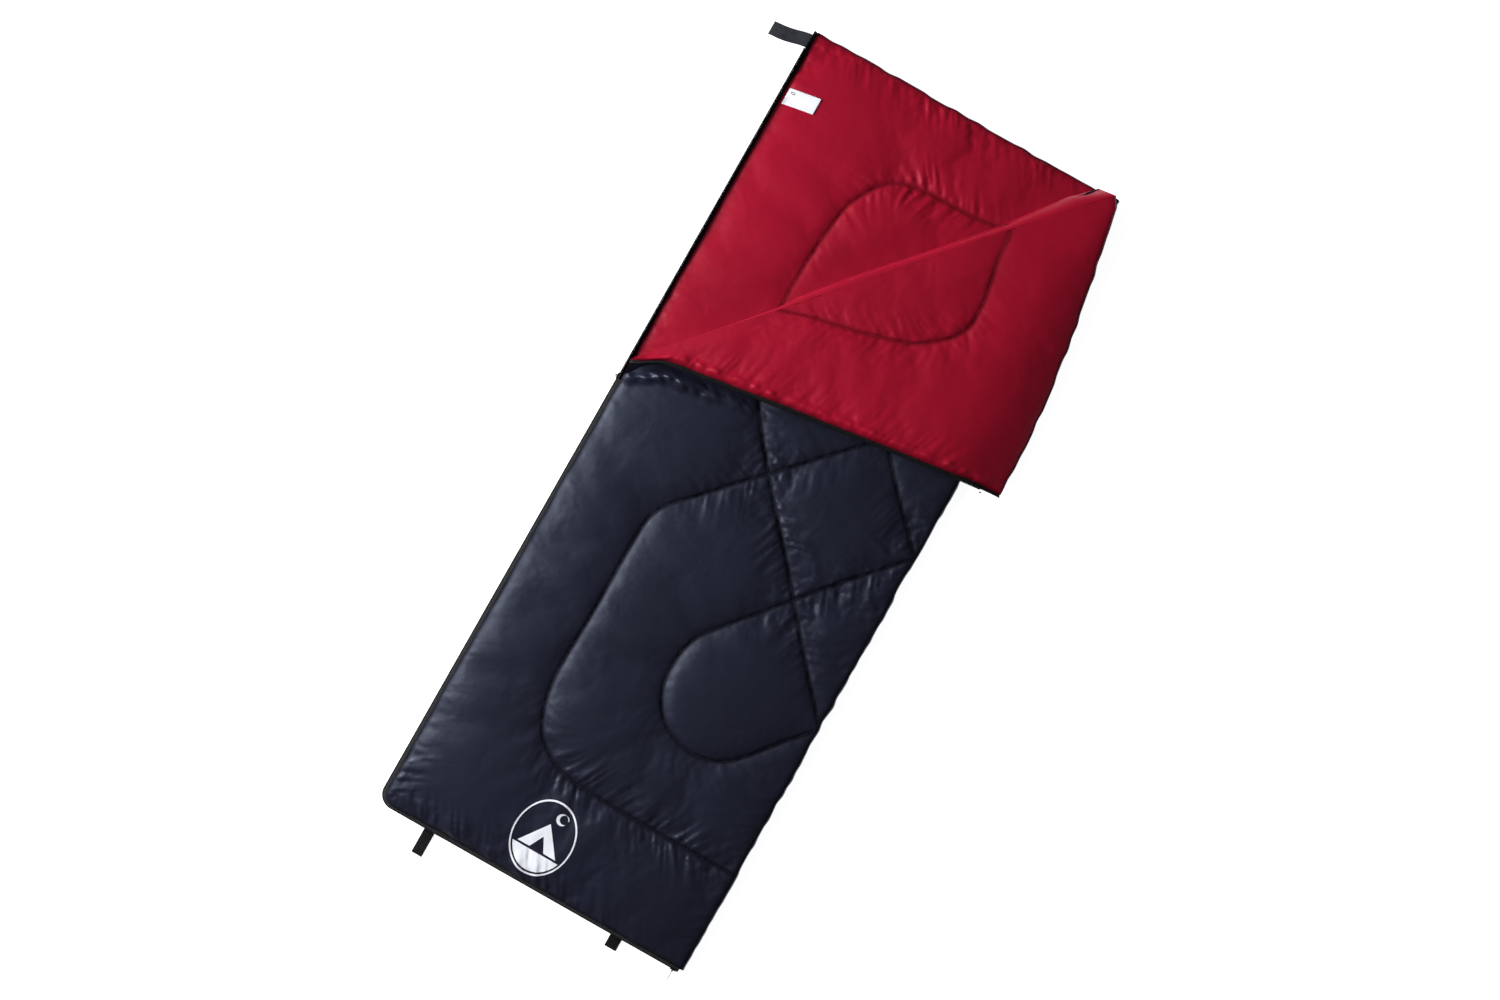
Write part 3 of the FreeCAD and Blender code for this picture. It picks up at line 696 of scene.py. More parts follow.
class Sheet:
    """A quilted face: flat places, moves within the panel, heights off the seam, triangles."""

    def __init__(self, seed, puckered, fold_thinning=0.0):
        flat, faces, held = PANEL
        moves = inflate(flat, faces, held, seed)
        wrinkled = WRINKLES + WRINKLES_AT_SPOTS * near_spots(flat, puckered)[:, None]
        moves = calmed(moves, faces, held) * (1 - wrinkled) + moves * wrinkled
        values = np.column_stack([flat, moves])
        values, self.faces, self.held = refine(values, faces, held)
        self.flat = values[:, :2]
        self.shift = values[:, 2:4]
        puff = np.clip(values[:, 4], 0, None)
        share = (puff / np.percentile(puff, HIGH_PERCENTILE)) ** PUFF_FULLNESS
        full_puff = 1 - math.exp(-PUFF_CROWN * 1.1)
        self.height = TOP_LOFT * (1 - np.exp(-PUFF_CROWN * share)) / full_puff
        ridges, away = self.puckers(seed, puckered)
        # How near each place lies to its seam: this paints shade into the cloth's colour there and dulls it.
        self.groove = np.exp(-((away / GROOVE_REACH) ** 2))
        self.height += ridges
        self.height *= 1 - fold_thinning * np.exp(-np.abs(beyond_fold(*self.flat.T)) / FOLD_ROUNDING)

    def puckers(self, seed, spots):
        """Heights of short ridges that stand square to the seams, strongest round the spots, and
        the distance of each place from its seam. The ridges lean, and differ on a seam's sides."""
        places = np.vstack([*quilting_routes(3 * MM), *outline_routes(3 * MM)])
        steps = np.linalg.norm(np.diff(places, axis=0, prepend=places[:1]), axis=1)
        along = np.cumsum(steps)
        to_route = nearest_finder(places)
        found = [to_route(x, y) for x, y in self.flat]
        nearest = np.array([item[1] for item in found])
        away = np.array([item[2] for item in found])
        x, y = self.flat.T
        strength = PUCKERS + near_spots(self.flat, spots)
        strength *= 0.8 + 0.6 * mottle(x / 0.09, y / 0.09, seed + 1)
        side = np.sign(x - places[nearest, 0] + 0.3 * (y - places[nearest, 1]))
        lean = along[nearest] + 0.5 * away
        ridge = mottle(lean / (7 * MM), side * away / (60 * MM) + 3, seed + 2)
        ridge += 0.7 * mottle(lean / (15 * MM), side * away / (90 * MM) + 9, seed + 3)
        rise = fade(away / PUCKER_RISE) * np.exp(-((away / PUCKER_REACH) ** 2))
        return PUCKER_HEIGHT * strength * rise * ridge, away

    def part(self, wanted):
        """The triangles whose middles are wanted, and the points that they use."""
        middles = self.flat[self.faces].mean(axis=1)
        faces = self.faces[wanted(*middles.T)]
        used, numbers = np.unique(faces, return_inverse=True)
        return used, numbers.reshape(-1, 3)


def beyond_fold(x, y):
    """Distance past the fold on the side of the turned-back corner."""
    return (x - FOLD_START[0]) * FOLD_OUT[0] + (y - FOLD_START[1]) * FOLD_OUT[1]


def whole(x, y):
    """Wants the whole panel."""
    return np.full(np.shape(x), True)


def on_cover(x, y):
    """Wants the part of the panel that stays on the cover."""
    return beyond_fold(x, y) < 0


def on_flap(x, y):
    """Wants the part of the panel that is turned back."""
    return beyond_fold(x, y) > 0


WANDER_REACH = 40 * MM


def wander(places):
    """Moves the sewn edges in and out by a little, as puckered edges lie, but not the corners."""
    x, y = places[:, 0], places[:, 1]
    near_side = fade(1 - (HALF_WIDTH - np.abs(x)) / WANDER_REACH)
    near_end = fade(1 - (HALF_LENGTH - np.abs(y)) / WANDER_REACH)
    sideways = 1.3 * MM * mottle(y / 0.03, np.sign(x) * 2 + 5, seed=71)
    sideways += 1.4 * MM * mottle(y / 0.11, np.sign(x), seed=72)
    endways = 1.5 * MM * mottle(x / 0.028, np.sign(y) * 2 + 5, seed=73)
    endways += 1.5 * MM * mottle(x / 0.12, np.sign(y), seed=74)
    moved = places.copy()
    moved[:, 0] += near_side * (1 - near_end) * sideways
    moved[:, 1] += near_end * (1 - near_side) * endways
    return moved


# ---- The turned-back corner ----

HEM_BULGE = 36 * MM
EDGE_LIFT = 62 * MM
FOLD_SHIFT = 46 * MM
TIP_DROOP = 30 * MM
DROOP_REACH = 0.19
DROOP_POWER = 2.2

# Shares of the triangle from one corner to the other, over which these bends fade in or out.
LIFT_REACH = 0.35
LIFT_FADE = 0.1
SHIFT_FADE = 0.04
DROOP_FADE = 0.35

# Shares of the lift and of the shift that the fold itself takes.
LIFT_AT_FOLD = 0.55
SHIFT_AT_FOLD = 0.8

FOLDED_TIP = ZIP_CORNER - 2 * beyond_fold(*ZIP_CORNER) * FOLD_OUT


def edge_lift(to_start, to_tip, to_end):
    """How far the folded zip edge lies above its mirrored place: it bunches up near the fold."""
    near_zip = np.exp(-((to_end / LIFT_REACH) ** 2))
    from_fold = LIFT_AT_FOLD + (1 - LIFT_AT_FOLD) * fade(to_tip / LIFT_FADE)
    return EDGE_LIFT * np.clip(to_start, 0, 1) ** 0.8 * near_zip * from_fold


def fold_over(places):
    """Turns places of the unfolded cover over the fold. The folded edges aren't quite straight:
    the hem bows out, the zip's edge is lifted near the zip side, and the tip droops. Each place's
    shares of the three corners (to_start, to_end on the fold, to_tip) say how far it takes part."""
    flat = places[:, :2]
    past = beyond_fold(*flat.T)[:, None]
    folded = flat - 2 * past * FOLD_OUT
    corner_past = beyond_fold(*ZIP_CORNER)
    to_tip = past[:, 0] / corner_past
    along = (flat - FOLD_START) @ FOLD_ALONG
    corner_along = (ZIP_CORNER - FOLD_START) @ FOLD_ALONG
    to_end = (along - to_tip * corner_along) / FOLD_REACH
    to_start = 1 - to_tip - to_end
    hem_out = np.array([FOLD_END[1] - FOLDED_TIP[1], FOLDED_TIP[0] - FOLD_END[0]])
    hem_out /= np.linalg.norm(hem_out)
    bulge = HEM_BULGE * 4 * np.clip(to_end * to_tip, 0, 1) * (1 - fade(to_start * 1.5))
    folded = folded + bulge[:, None] * hem_out
    folded[:, 1] += edge_lift(to_start, to_tip, to_end)
    from_fold = SHIFT_AT_FOLD + (1 - SHIFT_AT_FOLD) * fade(to_tip / SHIFT_FADE)
    folded[:, 0] += FOLD_SHIFT * np.clip(to_end, 0, 1) ** 3 * from_fold
    height = 2 * FOLD_HEIGHT - places[:, 2]
    overhang = np.clip((folded[:, 0] - FOLDED_TIP[0]) / DROOP_REACH + 1, 0, None)
    height = height - TIP_DROOP * overhang**DROOP_POWER * fade(to_tip / DROOP_FADE)
    return np.column_stack([folded, height])


# ---- The layers ----

UP = 1
DOWN = -1
FOLD_CALM = 40 * MM


def place_sheet(sheet, used, seam, direction):
    """Points of part of a sheet, UP from the seam or DOWN from it, with its edges wandering."""
    flat = sheet.flat[used]
    from_fold = fade(np.abs(beyond_fold(*flat.T)) / FOLD_CALM)[:, None]
    within = flat + sheet.shift[used] * from_fold
    height = seam + direction * (SEAM_GAP + sheet.height[used])
    return wander(np.column_stack([within, height]))


def make_face(body, cloth, sheet, wanted, seam, direction, shape):
    """One cloth face of a layer as a piece, which replaces its CAD node."""
    used, faces = sheet.part(wanted)
    places = shape(place_sheet(sheet, used, seam, direction))
    if (direction == DOWN) != (body == "flap"):
        faces = faces[:, ::-1]
    piece = add_piece(f"{body}_{cloth}_quilt", places, faces, cloth)
    # The seam attribute paints shade into the cloth's colour along the stitched grooves and dulls it there.
    groove = piece.data.attributes.new("seam", "FLOAT", "POINT")
    groove.data.foreach_set("value", sheet.groove[used].astype(np.float32))
    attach(piece, body)
    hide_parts(f"{body}_{cloth}")
    return piece


FLOOR_SOFTNESS = 3 * MM


def rest_on_floor(places):
    """Flattens what would go below the floor."""
    places = places.copy()
    low = places[:, 2]
    flattened = FLOOR_SOFTNESS * np.exp(np.minimum(low, FLOOR_SOFTNESS) / FLOOR_SOFTNESS - 1)
    places[:, 2] = np.where(low < FLOOR_SOFTNESS, flattened, low)
    return places


LIP_HEIGHT = 19 * MM
LIP_WIDTH = 14 * MM
LIP_INSET = 34 * MM
LIP_REACH = 0.22


def cover_lip(places):
    """Raises the cover's shell along the folded zip edge near the zip side, where it bunches up."""
    x, y = places[:, 0], places[:, 1]
    from_side = x + HALF_WIDTH
    to_tip = np.clip(from_side / (FOLDED_TIP[0] + HALF_WIDTH), 0, 1)
    edge_y = FOLD_START[1] + (FOLDED_TIP[1] - FOLD_START[1]) * to_tip + edge_lift(1 - to_tip, to_tip, 0)
    across = (y - edge_y + LIP_INSET) / LIP_WIDTH
    fading = np.exp(-((from_side / LIP_REACH) ** 2)) * (0.4 + 0.6 * fade(from_side / (30 * MM)))
    wrinkle = 1 + 0.5 * mottle(from_side / 0.013 + across, across * 1.4, seed=91)
    places = places.copy()
    places[:, 2] += LIP_HEIGHT * fading * wrinkle * np.exp(-(across**2))
    return places


PRESS_SHARE = 0.6
PRESS_REACH = 48 * MM
PRESS_OFFSET = 18 * MM


def pressed_by_fold(places):
    """Sinks the base's lining where the rolled fold lies on it."""
    to_crest = beyond_fold(places[:, 0], places[:, 1]) - PRESS_OFFSET
    places = places.copy()
    places[:, 2] -= PRESS_SHARE * (places[:, 2] - BASE_SEAM) * np.exp(-((to_crest / PRESS_REACH) ** 2))
    return places


CREASE_REACH = 26 * MM


def creased_shell(places):
    """Brings the shell up to the fold's axis along the fold, where it lies against itself."""
    x, y = places[:, 0], places[:, 1]
    inside = fade(np.minimum(x + HALF_WIDTH, HALF_LENGTH - y) / CREASE_REACH)
    nearness = inside * np.exp(-((beyond_fold(x, y) / CREASE_REACH) ** 2))
    places = places.copy()
    places[:, 2] += nearness * (FOLD_HEIGHT - SEAM_GAP - places[:, 2])
    return places


def folded_shell(places):
    """The flap's shell, creased and turned over the fold."""
    return fold_over(creased_shell(places))


EXTRA_LOFT = 0.25
EXTRA_LOFT_INSET = 30 * MM
EXTRA_LOFT_FADE = 0.15


def puffed_cover(places):
    """The cover's shell, which stands a little higher where nothing lies on it, and its lip."""
    places = cover_lip(places)
    uncovered = fade((FOLDED_TIP[1] - EXTRA_LOFT_INSET - places[:, 1]) / EXTRA_LOFT_FADE)
    places[:, 2] += EXTRA_LOFT * uncovered * (places[:, 2] - COVER_SEAM)
    return creased_shell(places)


WELT_HEIGHT = 5 * MM
WELT_WIDTH = 9 * MM
WELT_INSET = 13 * MM


def welted_flap(places):
    """The flap's lining with a wrinkled welt beside its zip, turned over the fold."""
    from_zip = places[:, 0] + HALF_WIDTH
    along = places[:, 1]
    wrinkle = 1 + 0.5 * mottle(along / 0.018 + from_zip / 0.03, from_zip / 0.02, seed=93)
    places = places.copy()
    places[:, 2] -= WELT_HEIGHT * wrinkle * np.exp(-(((from_zip - WELT_INSET) / WELT_WIDTH) ** 2))
    return fold_over(places)


def make_layers():
    """The quilted faces of the base, the cover and the flap, by body and cloth."""
    faces = [
        ("base", "lining", LINING, whole, BASE_SEAM, UP, pressed_by_fold),
        ("base", "shell", SHELL, whole, BASE_SEAM, DOWN, rest_on_floor),
        ("cover", "shell", SHELL, on_cover, COVER_SEAM, UP, puffed_cover),
        ("cover", "lining", FLAP_LINING, on_cover, COVER_SEAM, DOWN, plain),
        ("flap", "lining", FLAP_LINING, on_flap, COVER_SEAM, DOWN, welted_flap),
        ("flap", "shell", SHELL, on_flap, COVER_SEAM, UP, folded_shell),
    ]
    return {face[:2]: make_face(*face) for face in faces}


def rim_quads(faces, offset):
    """Quads that join the open edges of a set of triangles to a copy offset points further on."""
    edges = face_edges(faces)
    _, first, count = np.unique(np.sort(edges, axis=1), axis=0, return_index=True, return_counts=True)
    rim = edges[first[count == 1]]
    return [(b, a, a + offset, b + offset) for a, b in rim.tolist()]


def two_sided(faces, offset):
    """A closed skin: triangles, their copies turned over offset points further on, and a rim."""
    return [*faces.tolist(), *(faces[:, ::-1] + offset).tolist(), *rim_quads(faces, offset)]


FILLING_SPACING = 20 * MM
FILLING_SHARE = 0.85
LEAST_FILLING = 0.5 * MM


def lowest_near(sheet, places):
    """The least height of a sheet within one filling spacing of each place."""
    tree = flat_tree(sheet.flat)
    return np.array([min(sheet.height[near[1]] for near in tree.find_range((x, y, 0), FILLING_SPACING))
                     for x, y in places])


def make_filling(body, top, bottom, wanted, seam, shape):
    """The batting inside a layer: a closed pad for each quilted field, a little inside the cloth."""
    flat, faces, _ = triangulate_panel(FILLING_SPACING)
    above = FILLING_SHARE * lowest_near(top, flat)
    below = FILLING_SHARE * lowest_near(bottom, flat)
    padded = (np.minimum(above, below)[faces] > LEAST_FILLING).all(axis=1)
    faces = faces[padded & wanted(*flat[faces].mean(axis=1).T)]
    used, numbers = np.unique(faces, return_inverse=True)
    faces = numbers.reshape(-1, 3)
    upper = np.column_stack([flat[used], seam + above[used]])
    lower = np.column_stack([flat[used], seam - below[used]])
    places = shape(np.vstack([upper, lower]))
    piece = add_piece(f"{body}_filling", places, two_sided(faces, len(used)), "batting")
    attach(piece, body)
    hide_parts(f"{body}_batting")


def inside_cover(x, y):
    """Wants the cover's part of the panel that is clear of the fold."""
    return beyond_fold(x, y) < -FILLING_SPACING


def inside_flap(x, y):
    """Wants the flap's part of the panel that is clear of the fold."""
    return beyond_fold(x, y) > FILLING_SPACING


def make_fillings():
    """The batting of the base, the cover and the flap."""
    make_filling("base", LINING, SHELL, whole, BASE_SEAM, pressed_by_fold)
    make_filling("cover", SHELL, FLAP_LINING, inside_cover, COVER_SEAM, plain)
    make_filling("flap", SHELL, FLAP_LINING, inside_flap, COVER_SEAM, fold_over)


# ---- The cloth that joins the layers ----

JOIN_STEPS = 11
ON_LINE = 0.01 * MM
SIDE_BULGE = 5 * MM
SIDE_BULGE_SPREAD = 1.6 * MM
LINING_INSET = 0.8 * MM


def arched_strip(name, lower, upper, outward, bulge, material):
    """A strip from one row of points up to another, bulging outward between them."""
    rows = []
    for angle in np.linspace(0, math.pi, JOIN_STEPS + 1):
        share = (1 - math.cos(angle)) / 2
        rows.append(lower + (upper - lower) * share + outward * (bulge * math.sin(angle))[:, None])
    places = np.vstack(rows)
    return add_piece(name, places, grid_faces(len(rows), len(lower)), material)


def make_joined_side():
    """The shell and the lining where they go round the joined side, from the base to the cover."""
    flat = SHELL.flat[np.abs(SHELL.flat[:, 0] - HALF_WIDTH) < ON_LINE]
    flat = flat[np.argsort(flat[:, 1])]
    level = np.ones(len(flat))
    lower = wander(np.column_stack([flat, BASE_SEAM * level]))
    upper = wander(np.column_stack([flat, COVER_SEAM * level]))
    outward = np.array([1.0, 0.0, 0.0])
    bulge = SIDE_BULGE + SIDE_BULGE_SPREAD * mottle(flat[:, 1] / 0.02, level, seed=81)
    for cloth, inset in (("shell", 0), ("lining", LINING_INSET)):
        piece = arched_strip(f"joined_side_{cloth}", lower, upper, outward, bulge - inset, cloth)
        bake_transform(piece)


ROLL_BULGE = 16 * MM
ROLL_BULGE_AT_START = 10 * MM
ROLL_BULGE_SPREAD = 1.5 * MM
ROLL_END = 12 * MM


def make_fold():
    """The lining where it rolls round the fold, and the shell where it creases inside it."""
    on_fold = np.nonzero(np.abs(beyond_fold(*SHELL.flat.T)) < ON_LINE)[0]
    on_fold = on_fold[np.argsort(SHELL.flat[on_fold, 1])]
    along = np.linalg.norm(SHELL.flat[on_fold] - FOLD_START, axis=1)
    outward = np.array([*FOLD_OUT, 0])
    from_end = FOLD_REACH - along
    sewn = along[SHELL.held[on_fold]]
    to_sewn = np.abs(along[:, None] - sewn).min(axis=1)
    bulge = ROLL_BULGE + ROLL_BULGE_AT_START * np.exp(-((along / 0.4) ** 2))
    bulge += ROLL_BULGE_SPREAD * mottle(along / 0.05, along, seed=83)
    bulge *= 0.4 + 0.6 * fade(to_sewn / (80 * MM))
    bulge *= fade((along + ROLL_END) / (90 * MM)) * fade((from_end + ROLL_END) / (60 * MM))
    lining_edge = place_sheet(FLAP_LINING, on_fold, COVER_SEAM, DOWN)
    shell_edge = creased_shell(place_sheet(SHELL, on_fold, COVER_SEAM, UP))
    roll = arched_strip("fold_roll", lining_edge, fold_over(lining_edge), outward, bulge, "lining")
    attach(roll, "cover")
    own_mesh(roll)
    crease = arched_strip("fold_crease", shell_edge, fold_over(shell_edge), outward, 0 * bulge, "shell")
    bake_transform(crease)


HEM_RADIUS = 1.5 * MM
HEM_AROUND = 8
HEM_STEP = 4 * MM


def make_hem(body, start, end, seam, shape):
    """The turned edge of the shell along part of the head, from x start to x end."""
    flat = straight_route((start, HALF_LENGTH), (end, HALF_LENGTH), HEM_STEP)
    middle = wander(np.column_stack([flat, np.full(len(flat), seam)]))
    turns = np.linspace(0, 2 * math.pi, HEM_AROUND, endpoint=False)
    ring = HEM_RADIUS * np.column_stack([0 * turns, 0.8 * np.cos(turns), np.sin(turns)])
    points = shape((middle[:, None] + ring).reshape(-1, 3))
    piece = add_piece(f"{body}_head_hem", points, tube_faces(len(flat), HEM_AROUND), "shell")
    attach(piece, body)


def make_hems():
    """The turned head edges of the base, the cover and the flap."""
    make_hem("base", -HALF_WIDTH, HALF_WIDTH, BASE_SEAM, plain)
    make_hem("cover", FOLD_END[0], HALF_WIDTH, COVER_SEAM, plain)
    make_hem("flap", -HALF_WIDTH, FOLD_END[0], COVER_SEAM, fold_over)


# ---- The zip ----

TAPE_THICKNESS = 0.8 * MM
TAPE_BEND = 4.8 * MM
TAPE_EDGE = 1.5 * MM
TAPE_TUCK = 3 * MM
TAPE_SPACING = 8 * MM
TOOTH_PITCH = 1.7 * MM
RINGS_PER_TOOTH = 3
COIL_AROUND = 8
COIL_FULLNESS = 1.08
COIL_WAIST = 0.68


def zip_edge(start, end, spacing):
    """Places down the zip side from y start, round the foot corner and along the foot to x end,
    with the outward direction at each."""
    corner_y = CORNER_ROUND - HALF_LENGTH
    corner_x = CORNER_ROUND - HALF_WIDTH
    side_length = start - corner_y
    arc_length = CORNER_ROUND * math.pi / 2
    total = side_length + arc_length + end - corner_x
    places = []
    outward = []
    for distance in np.linspace(0, total, round(total / spacing) + 1):
        if distance < side_length:
            places.append((-HALF_WIDTH, start - distance))
            outward.append((-1, 0))
        elif distance < side_length + arc_length:
            turn = math.pi + (distance - side_length) / CORNER_ROUND
            out_x, out_y = math.cos(turn), math.sin(turn)
            places.append((corner_x + CORNER_ROUND * out_x, corner_y + CORNER_ROUND * out_y))
            outward.append((out_x, out_y))
        else:
            places.append((corner_x + distance - side_length - arc_length, -HALF_LENGTH))
            outward.append((0, -1))
    return np.array(places), np.array(outward)


def side_edge(start, end, spacing):
    """Places down the zip side from y end to y start, with the outward direction at each."""
    places = straight_route((-HALF_WIDTH, end), (-HALF_WIDTH, start), spacing)
    return places, np.tile((-1.0, 0.0), (len(places), 1))


def make_swept(name, edge, profile, scales, side, slot, body, node, shape):
    """A profile of (out, drop) carried along the zip's edge, larger or smaller by each place's
    scale. Side is UP above the chain and DOWN below it."""
    places, outward = edge
    out, drop = np.array(profile).T
    reach = out.mean() + np.outer(scales, out - out.mean())
    fall = drop.mean() + np.outer(scales, drop - drop.mean())
    flat = places[:, None] + outward[:, None] * reach[:, :, None]
    points = np.dstack([flat, CHAIN_HEIGHT + side * fall]).reshape(-1, 3)
    piece = add_piece(name, shape(points), tube_faces(len(places), len(profile)), slot)
    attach(piece, body)
    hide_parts(node)


def make_tape(body, edge, side, shape):
    """The woven tape, from inside the layer's seam out to its edge beside the teeth."""
    seam = CHAIN_HEIGHT - BASE_SEAM
    half = TAPE_THICKNESS / 2
    inner = CHAIN_IN - TAPE_THICKNESS
    profile = [(-TAPE_TUCK, seam + half), (0, seam + half), (inner, TAPE_BEND + half), (CHAIN_IN, TAPE_BEND),
               (CHAIN_IN, TAPE_EDGE), (inner, TAPE_EDGE), (inner, TAPE_BEND - half), (0, seam - half),
               (-TAPE_TUCK, seam - half)]
    scales = np.ones(len(edge[0]))
    make_swept(f"{body}_zip_weave", edge, profile, scales, side, "zip_tape", body, f"{body}_zip_tape", shape)


def make_teeth(body, edge, side, shape):
    """The coil of teeth: a rounded bar with a waist between each tooth and the next."""
    out = (CHAIN_IN + CHAIN_OUT) / 2
    drop = (CHAIN_LOW + CHAIN_HIGH) / 2
    out_radius = (CHAIN_OUT - CHAIN_IN) / 2 * COIL_FULLNESS
    drop_radius = (CHAIN_LOW - CHAIN_HIGH) / 2 * COIL_FULLNESS
    turns = np.linspace(0, 2 * math.pi, COIL_AROUND, endpoint=False) + math.pi / COIL_AROUND
    profile = [(out + out_radius * math.cos(turn), drop + drop_radius * math.sin(turn)) for turn in turns]
    in_waist = np.arange(len(edge[0])) % RINGS_PER_TOOTH == RINGS_PER_TOOTH - 1
    scales = np.where(in_waist, COIL_WAIST, 1.0)
    make_swept(f"{body}_zip_teeth", edge, profile, scales, side, "zip_coil", body, f"{body}_zip_coil", shape)


def make_zip():
    """The tape and the teeth of the base, the cover and the flap."""
    tape_head = HALF_LENGTH - TAPE_THICKNESS
    flap_foot = FOLD_START[1] + 0.5 * MM
    ring = TOOTH_PITCH / RINGS_PER_TOOTH
    make_tape("base", zip_edge(tape_head, TAPE_FOOT, TAPE_SPACING), DOWN, plain)
    make_tape("cover", zip_edge(ZIP_END, TAPE_FOOT, TAPE_SPACING), UP, plain)
    make_tape("flap", side_edge(flap_foot, tape_head, TAPE_SPACING), UP, fold_over)
    make_teeth("base", zip_edge(CHAIN_HEAD, CHAIN_FOOT, ring), DOWN, plain)
    make_teeth("cover", zip_edge(ZIP_END, CHAIN_FOOT, ring), UP, plain)
    make_teeth("flap", side_edge(flap_foot, CHAIN_HEAD, ring), UP, fold_over)


# ---- Thread ----

STITCH_LENGTH = 3.2 * MM
STITCH_PITCH = 4.2 * MM
STITCH_RADIUS = 0.5 * MM
STITCH_LIFT = 0.5 * MM
STITCH_AROUND = 5
FEWEST_ROUTE_POINTS = 5

# The rings of a stitch: their place along it, from 0 to 1, and their share of its radius.
STITCH_RINGS = [(0, 0.3), (0.15, 0.9), (0.85, 0.9), (1, 0.3)]


def place_along(route, distances, distance):
    """The place on a route at a distance from its start, given the distances of its points."""
    return np.array([np.interp(distance, distances, route[:, axis]) for axis in (0, 1)])


def make_thread(body, routes, height, material, shape):
    """Stitches along routes: short rounded dashes that lie in the seams."""
    turns = np.linspace(0, 2 * math.pi, STITCH_AROUND, endpoint=False)
    dash = tube_faces(len(STITCH_RINGS), STITCH_AROUND)
    points = []
    faces = []
    for route in routes:
        distances = np.concatenate([[0], np.cumsum(np.linalg.norm(np.diff(route, axis=0), axis=1))])
        for begin in np.arange(STITCH_PITCH, distances[-1] - STITCH_PITCH, STITCH_PITCH):
            first = place_along(route, distances, begin)
            last = place_along(route, distances, begin + STITCH_LENGTH)
            sideways = np.array([first[1] - last[1], last[0] - first[0]]) / STITCH_LENGTH
            faces += [tuple(len(points) + corner for corner in face) for face in dash]
            for share, size in STITCH_RINGS:
                middle = first + (last - first) * share
                for turn in turns:
                    across = middle + sideways * STITCH_RADIUS * size * math.cos(turn)
                    points.append((*across, height + STITCH_RADIUS * size * math.sin(turn)))
    piece = add_piece(f"{body}_quilting_thread", shape(np.array(points)), faces, material)
    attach(piece, body)


def clipped(routes, wanted):
    """The runs of routes that lie where they are wanted."""
    kept = []
    for route in routes:
        inside = wanted(*route.T)
        cuts = np.nonzero(np.diff(inside.astype(int)))[0] + 1
        runs = [run for run, here in zip(np.split(route, cuts), np.split(inside, cuts)) if here[0]]
        kept += [run for run in runs if len(run) >= FEWEST_ROUTE_POINTS]
    return kept


def make_threads():
    """The stitching on the lining of the base and the flap and on the shell of the cover."""
    routes = quilting_routes(4 * MM)
    on_top = COVER_SEAM + STITCH_LIFT
    under = COVER_SEAM - STITCH_LIFT
    make_thread("base", routes, BASE_SEAM + STITCH_LIFT, "red_thread", plain)
    make_thread("cover", clipped(routes, on_cover), on_top, "navy_thread", plain)
    make_thread("flap", clipped(routes, on_flap), under, "red_thread", fold_over)


# ---- Webbing, label and print ----


RIBBON_AROUND = 24
RIBBON_FLATNESS = 0.35
RIBBON_ROUNDING = 0.7


def squared(wave, power):
    """A wave between -1 and 1 with broader tops, the more so the smaller the power."""
    return np.sign(wave) * np.abs(wave) ** power


def ribbon(name, centres, across, width, thickness, material, closed=False):
    """A flat strap along its middle line, with across its sideways direction."""
    centres = np.array(centres, float)
    across = np.tile(across, (len(centres), 1))
    if closed:
        ahead = np.roll(centres, -1, axis=0) - np.roll(centres, 1, axis=0)
    else:
        ahead = np.gradient(centres, axis=0)
    upward = np.cross(across, ahead)
    upward /= np.linalg.norm(upward, axis=1)[:, None]
    turns = np.linspace(0, 2 * math.pi, RIBBON_AROUND, endpoint=False)[:, None]
    flat = squared(np.cos(turns), RIBBON_FLATNESS) * width / 2
    round_edge = squared(np.sin(turns), RIBBON_ROUNDING) * thickness / 2
    rows = centres[:, None] + across[:, None] * flat + upward[:, None] * round_edge
    if closed:
        last = (len(centres) - 1) * RIBBON_AROUND
        faces = grid_faces(len(centres), RIBBON_AROUND, around=True)
        for i in range(RIBBON_AROUND):
            after = (i + 1) % RIBBON_AROUND
            faces.append((last + i, last + after, after, i))
    else:
        faces = tube_faces(len(centres), RIBBON_AROUND)
    return add_piece(name, rows.reshape(-1, 3), faces, material)


TAB_WIDTH = 32 * MM
TAB_ROOT = 4 * MM
TAB_RINGS = 40
TAB_SWAY = 1.6 * MM
TAB_RIPPLE = 1.4 * MM


def make_head_tab():
    """The charcoal strap at the head end of the zip, as one flat, slightly wavy strip. Its doubling and the
    stitching at its end are not modelled.
    """
    low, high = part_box("head_tab")
    share = np.linspace(0, 1, TAB_RINGS)[:, None]
    start = np.array([high.x + TAB_ROOT, high.y - TAB_WIDTH / 2, (low.z + high.z) / 2])
    end = np.array([low.x, low.y + TAB_WIDTH / 2, start[2]])
    centres = start + (end - start) * share
    centres[:, 1] += TAB_SWAY * np.sin(share[:, 0] * 7)
    centres[:, 2] += TAB_RIPPLE * np.sin(share[:, 0] * 9 + 1) * share[:, 0]
    tab = ribbon("head_tab_webbing", centres, (0.0, 1.0, 0.0), TAB_WIDTH, high.z - low.z, "webbing")
    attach(tab, "head_tab")
    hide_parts("head_tab")


LOOP_THICKNESS = 1.4 * MM
LOOP_RINGS = 72
LOOP_FLATNESS = 0.45
LOOP_ROUNDING = 0.8
LOOP_PINCH = 0.35
TAIL_TUCK = 3 * MM
TAIL_RINGS = 12
SIDEWAYS = (1.0, 0.0, 0.0)


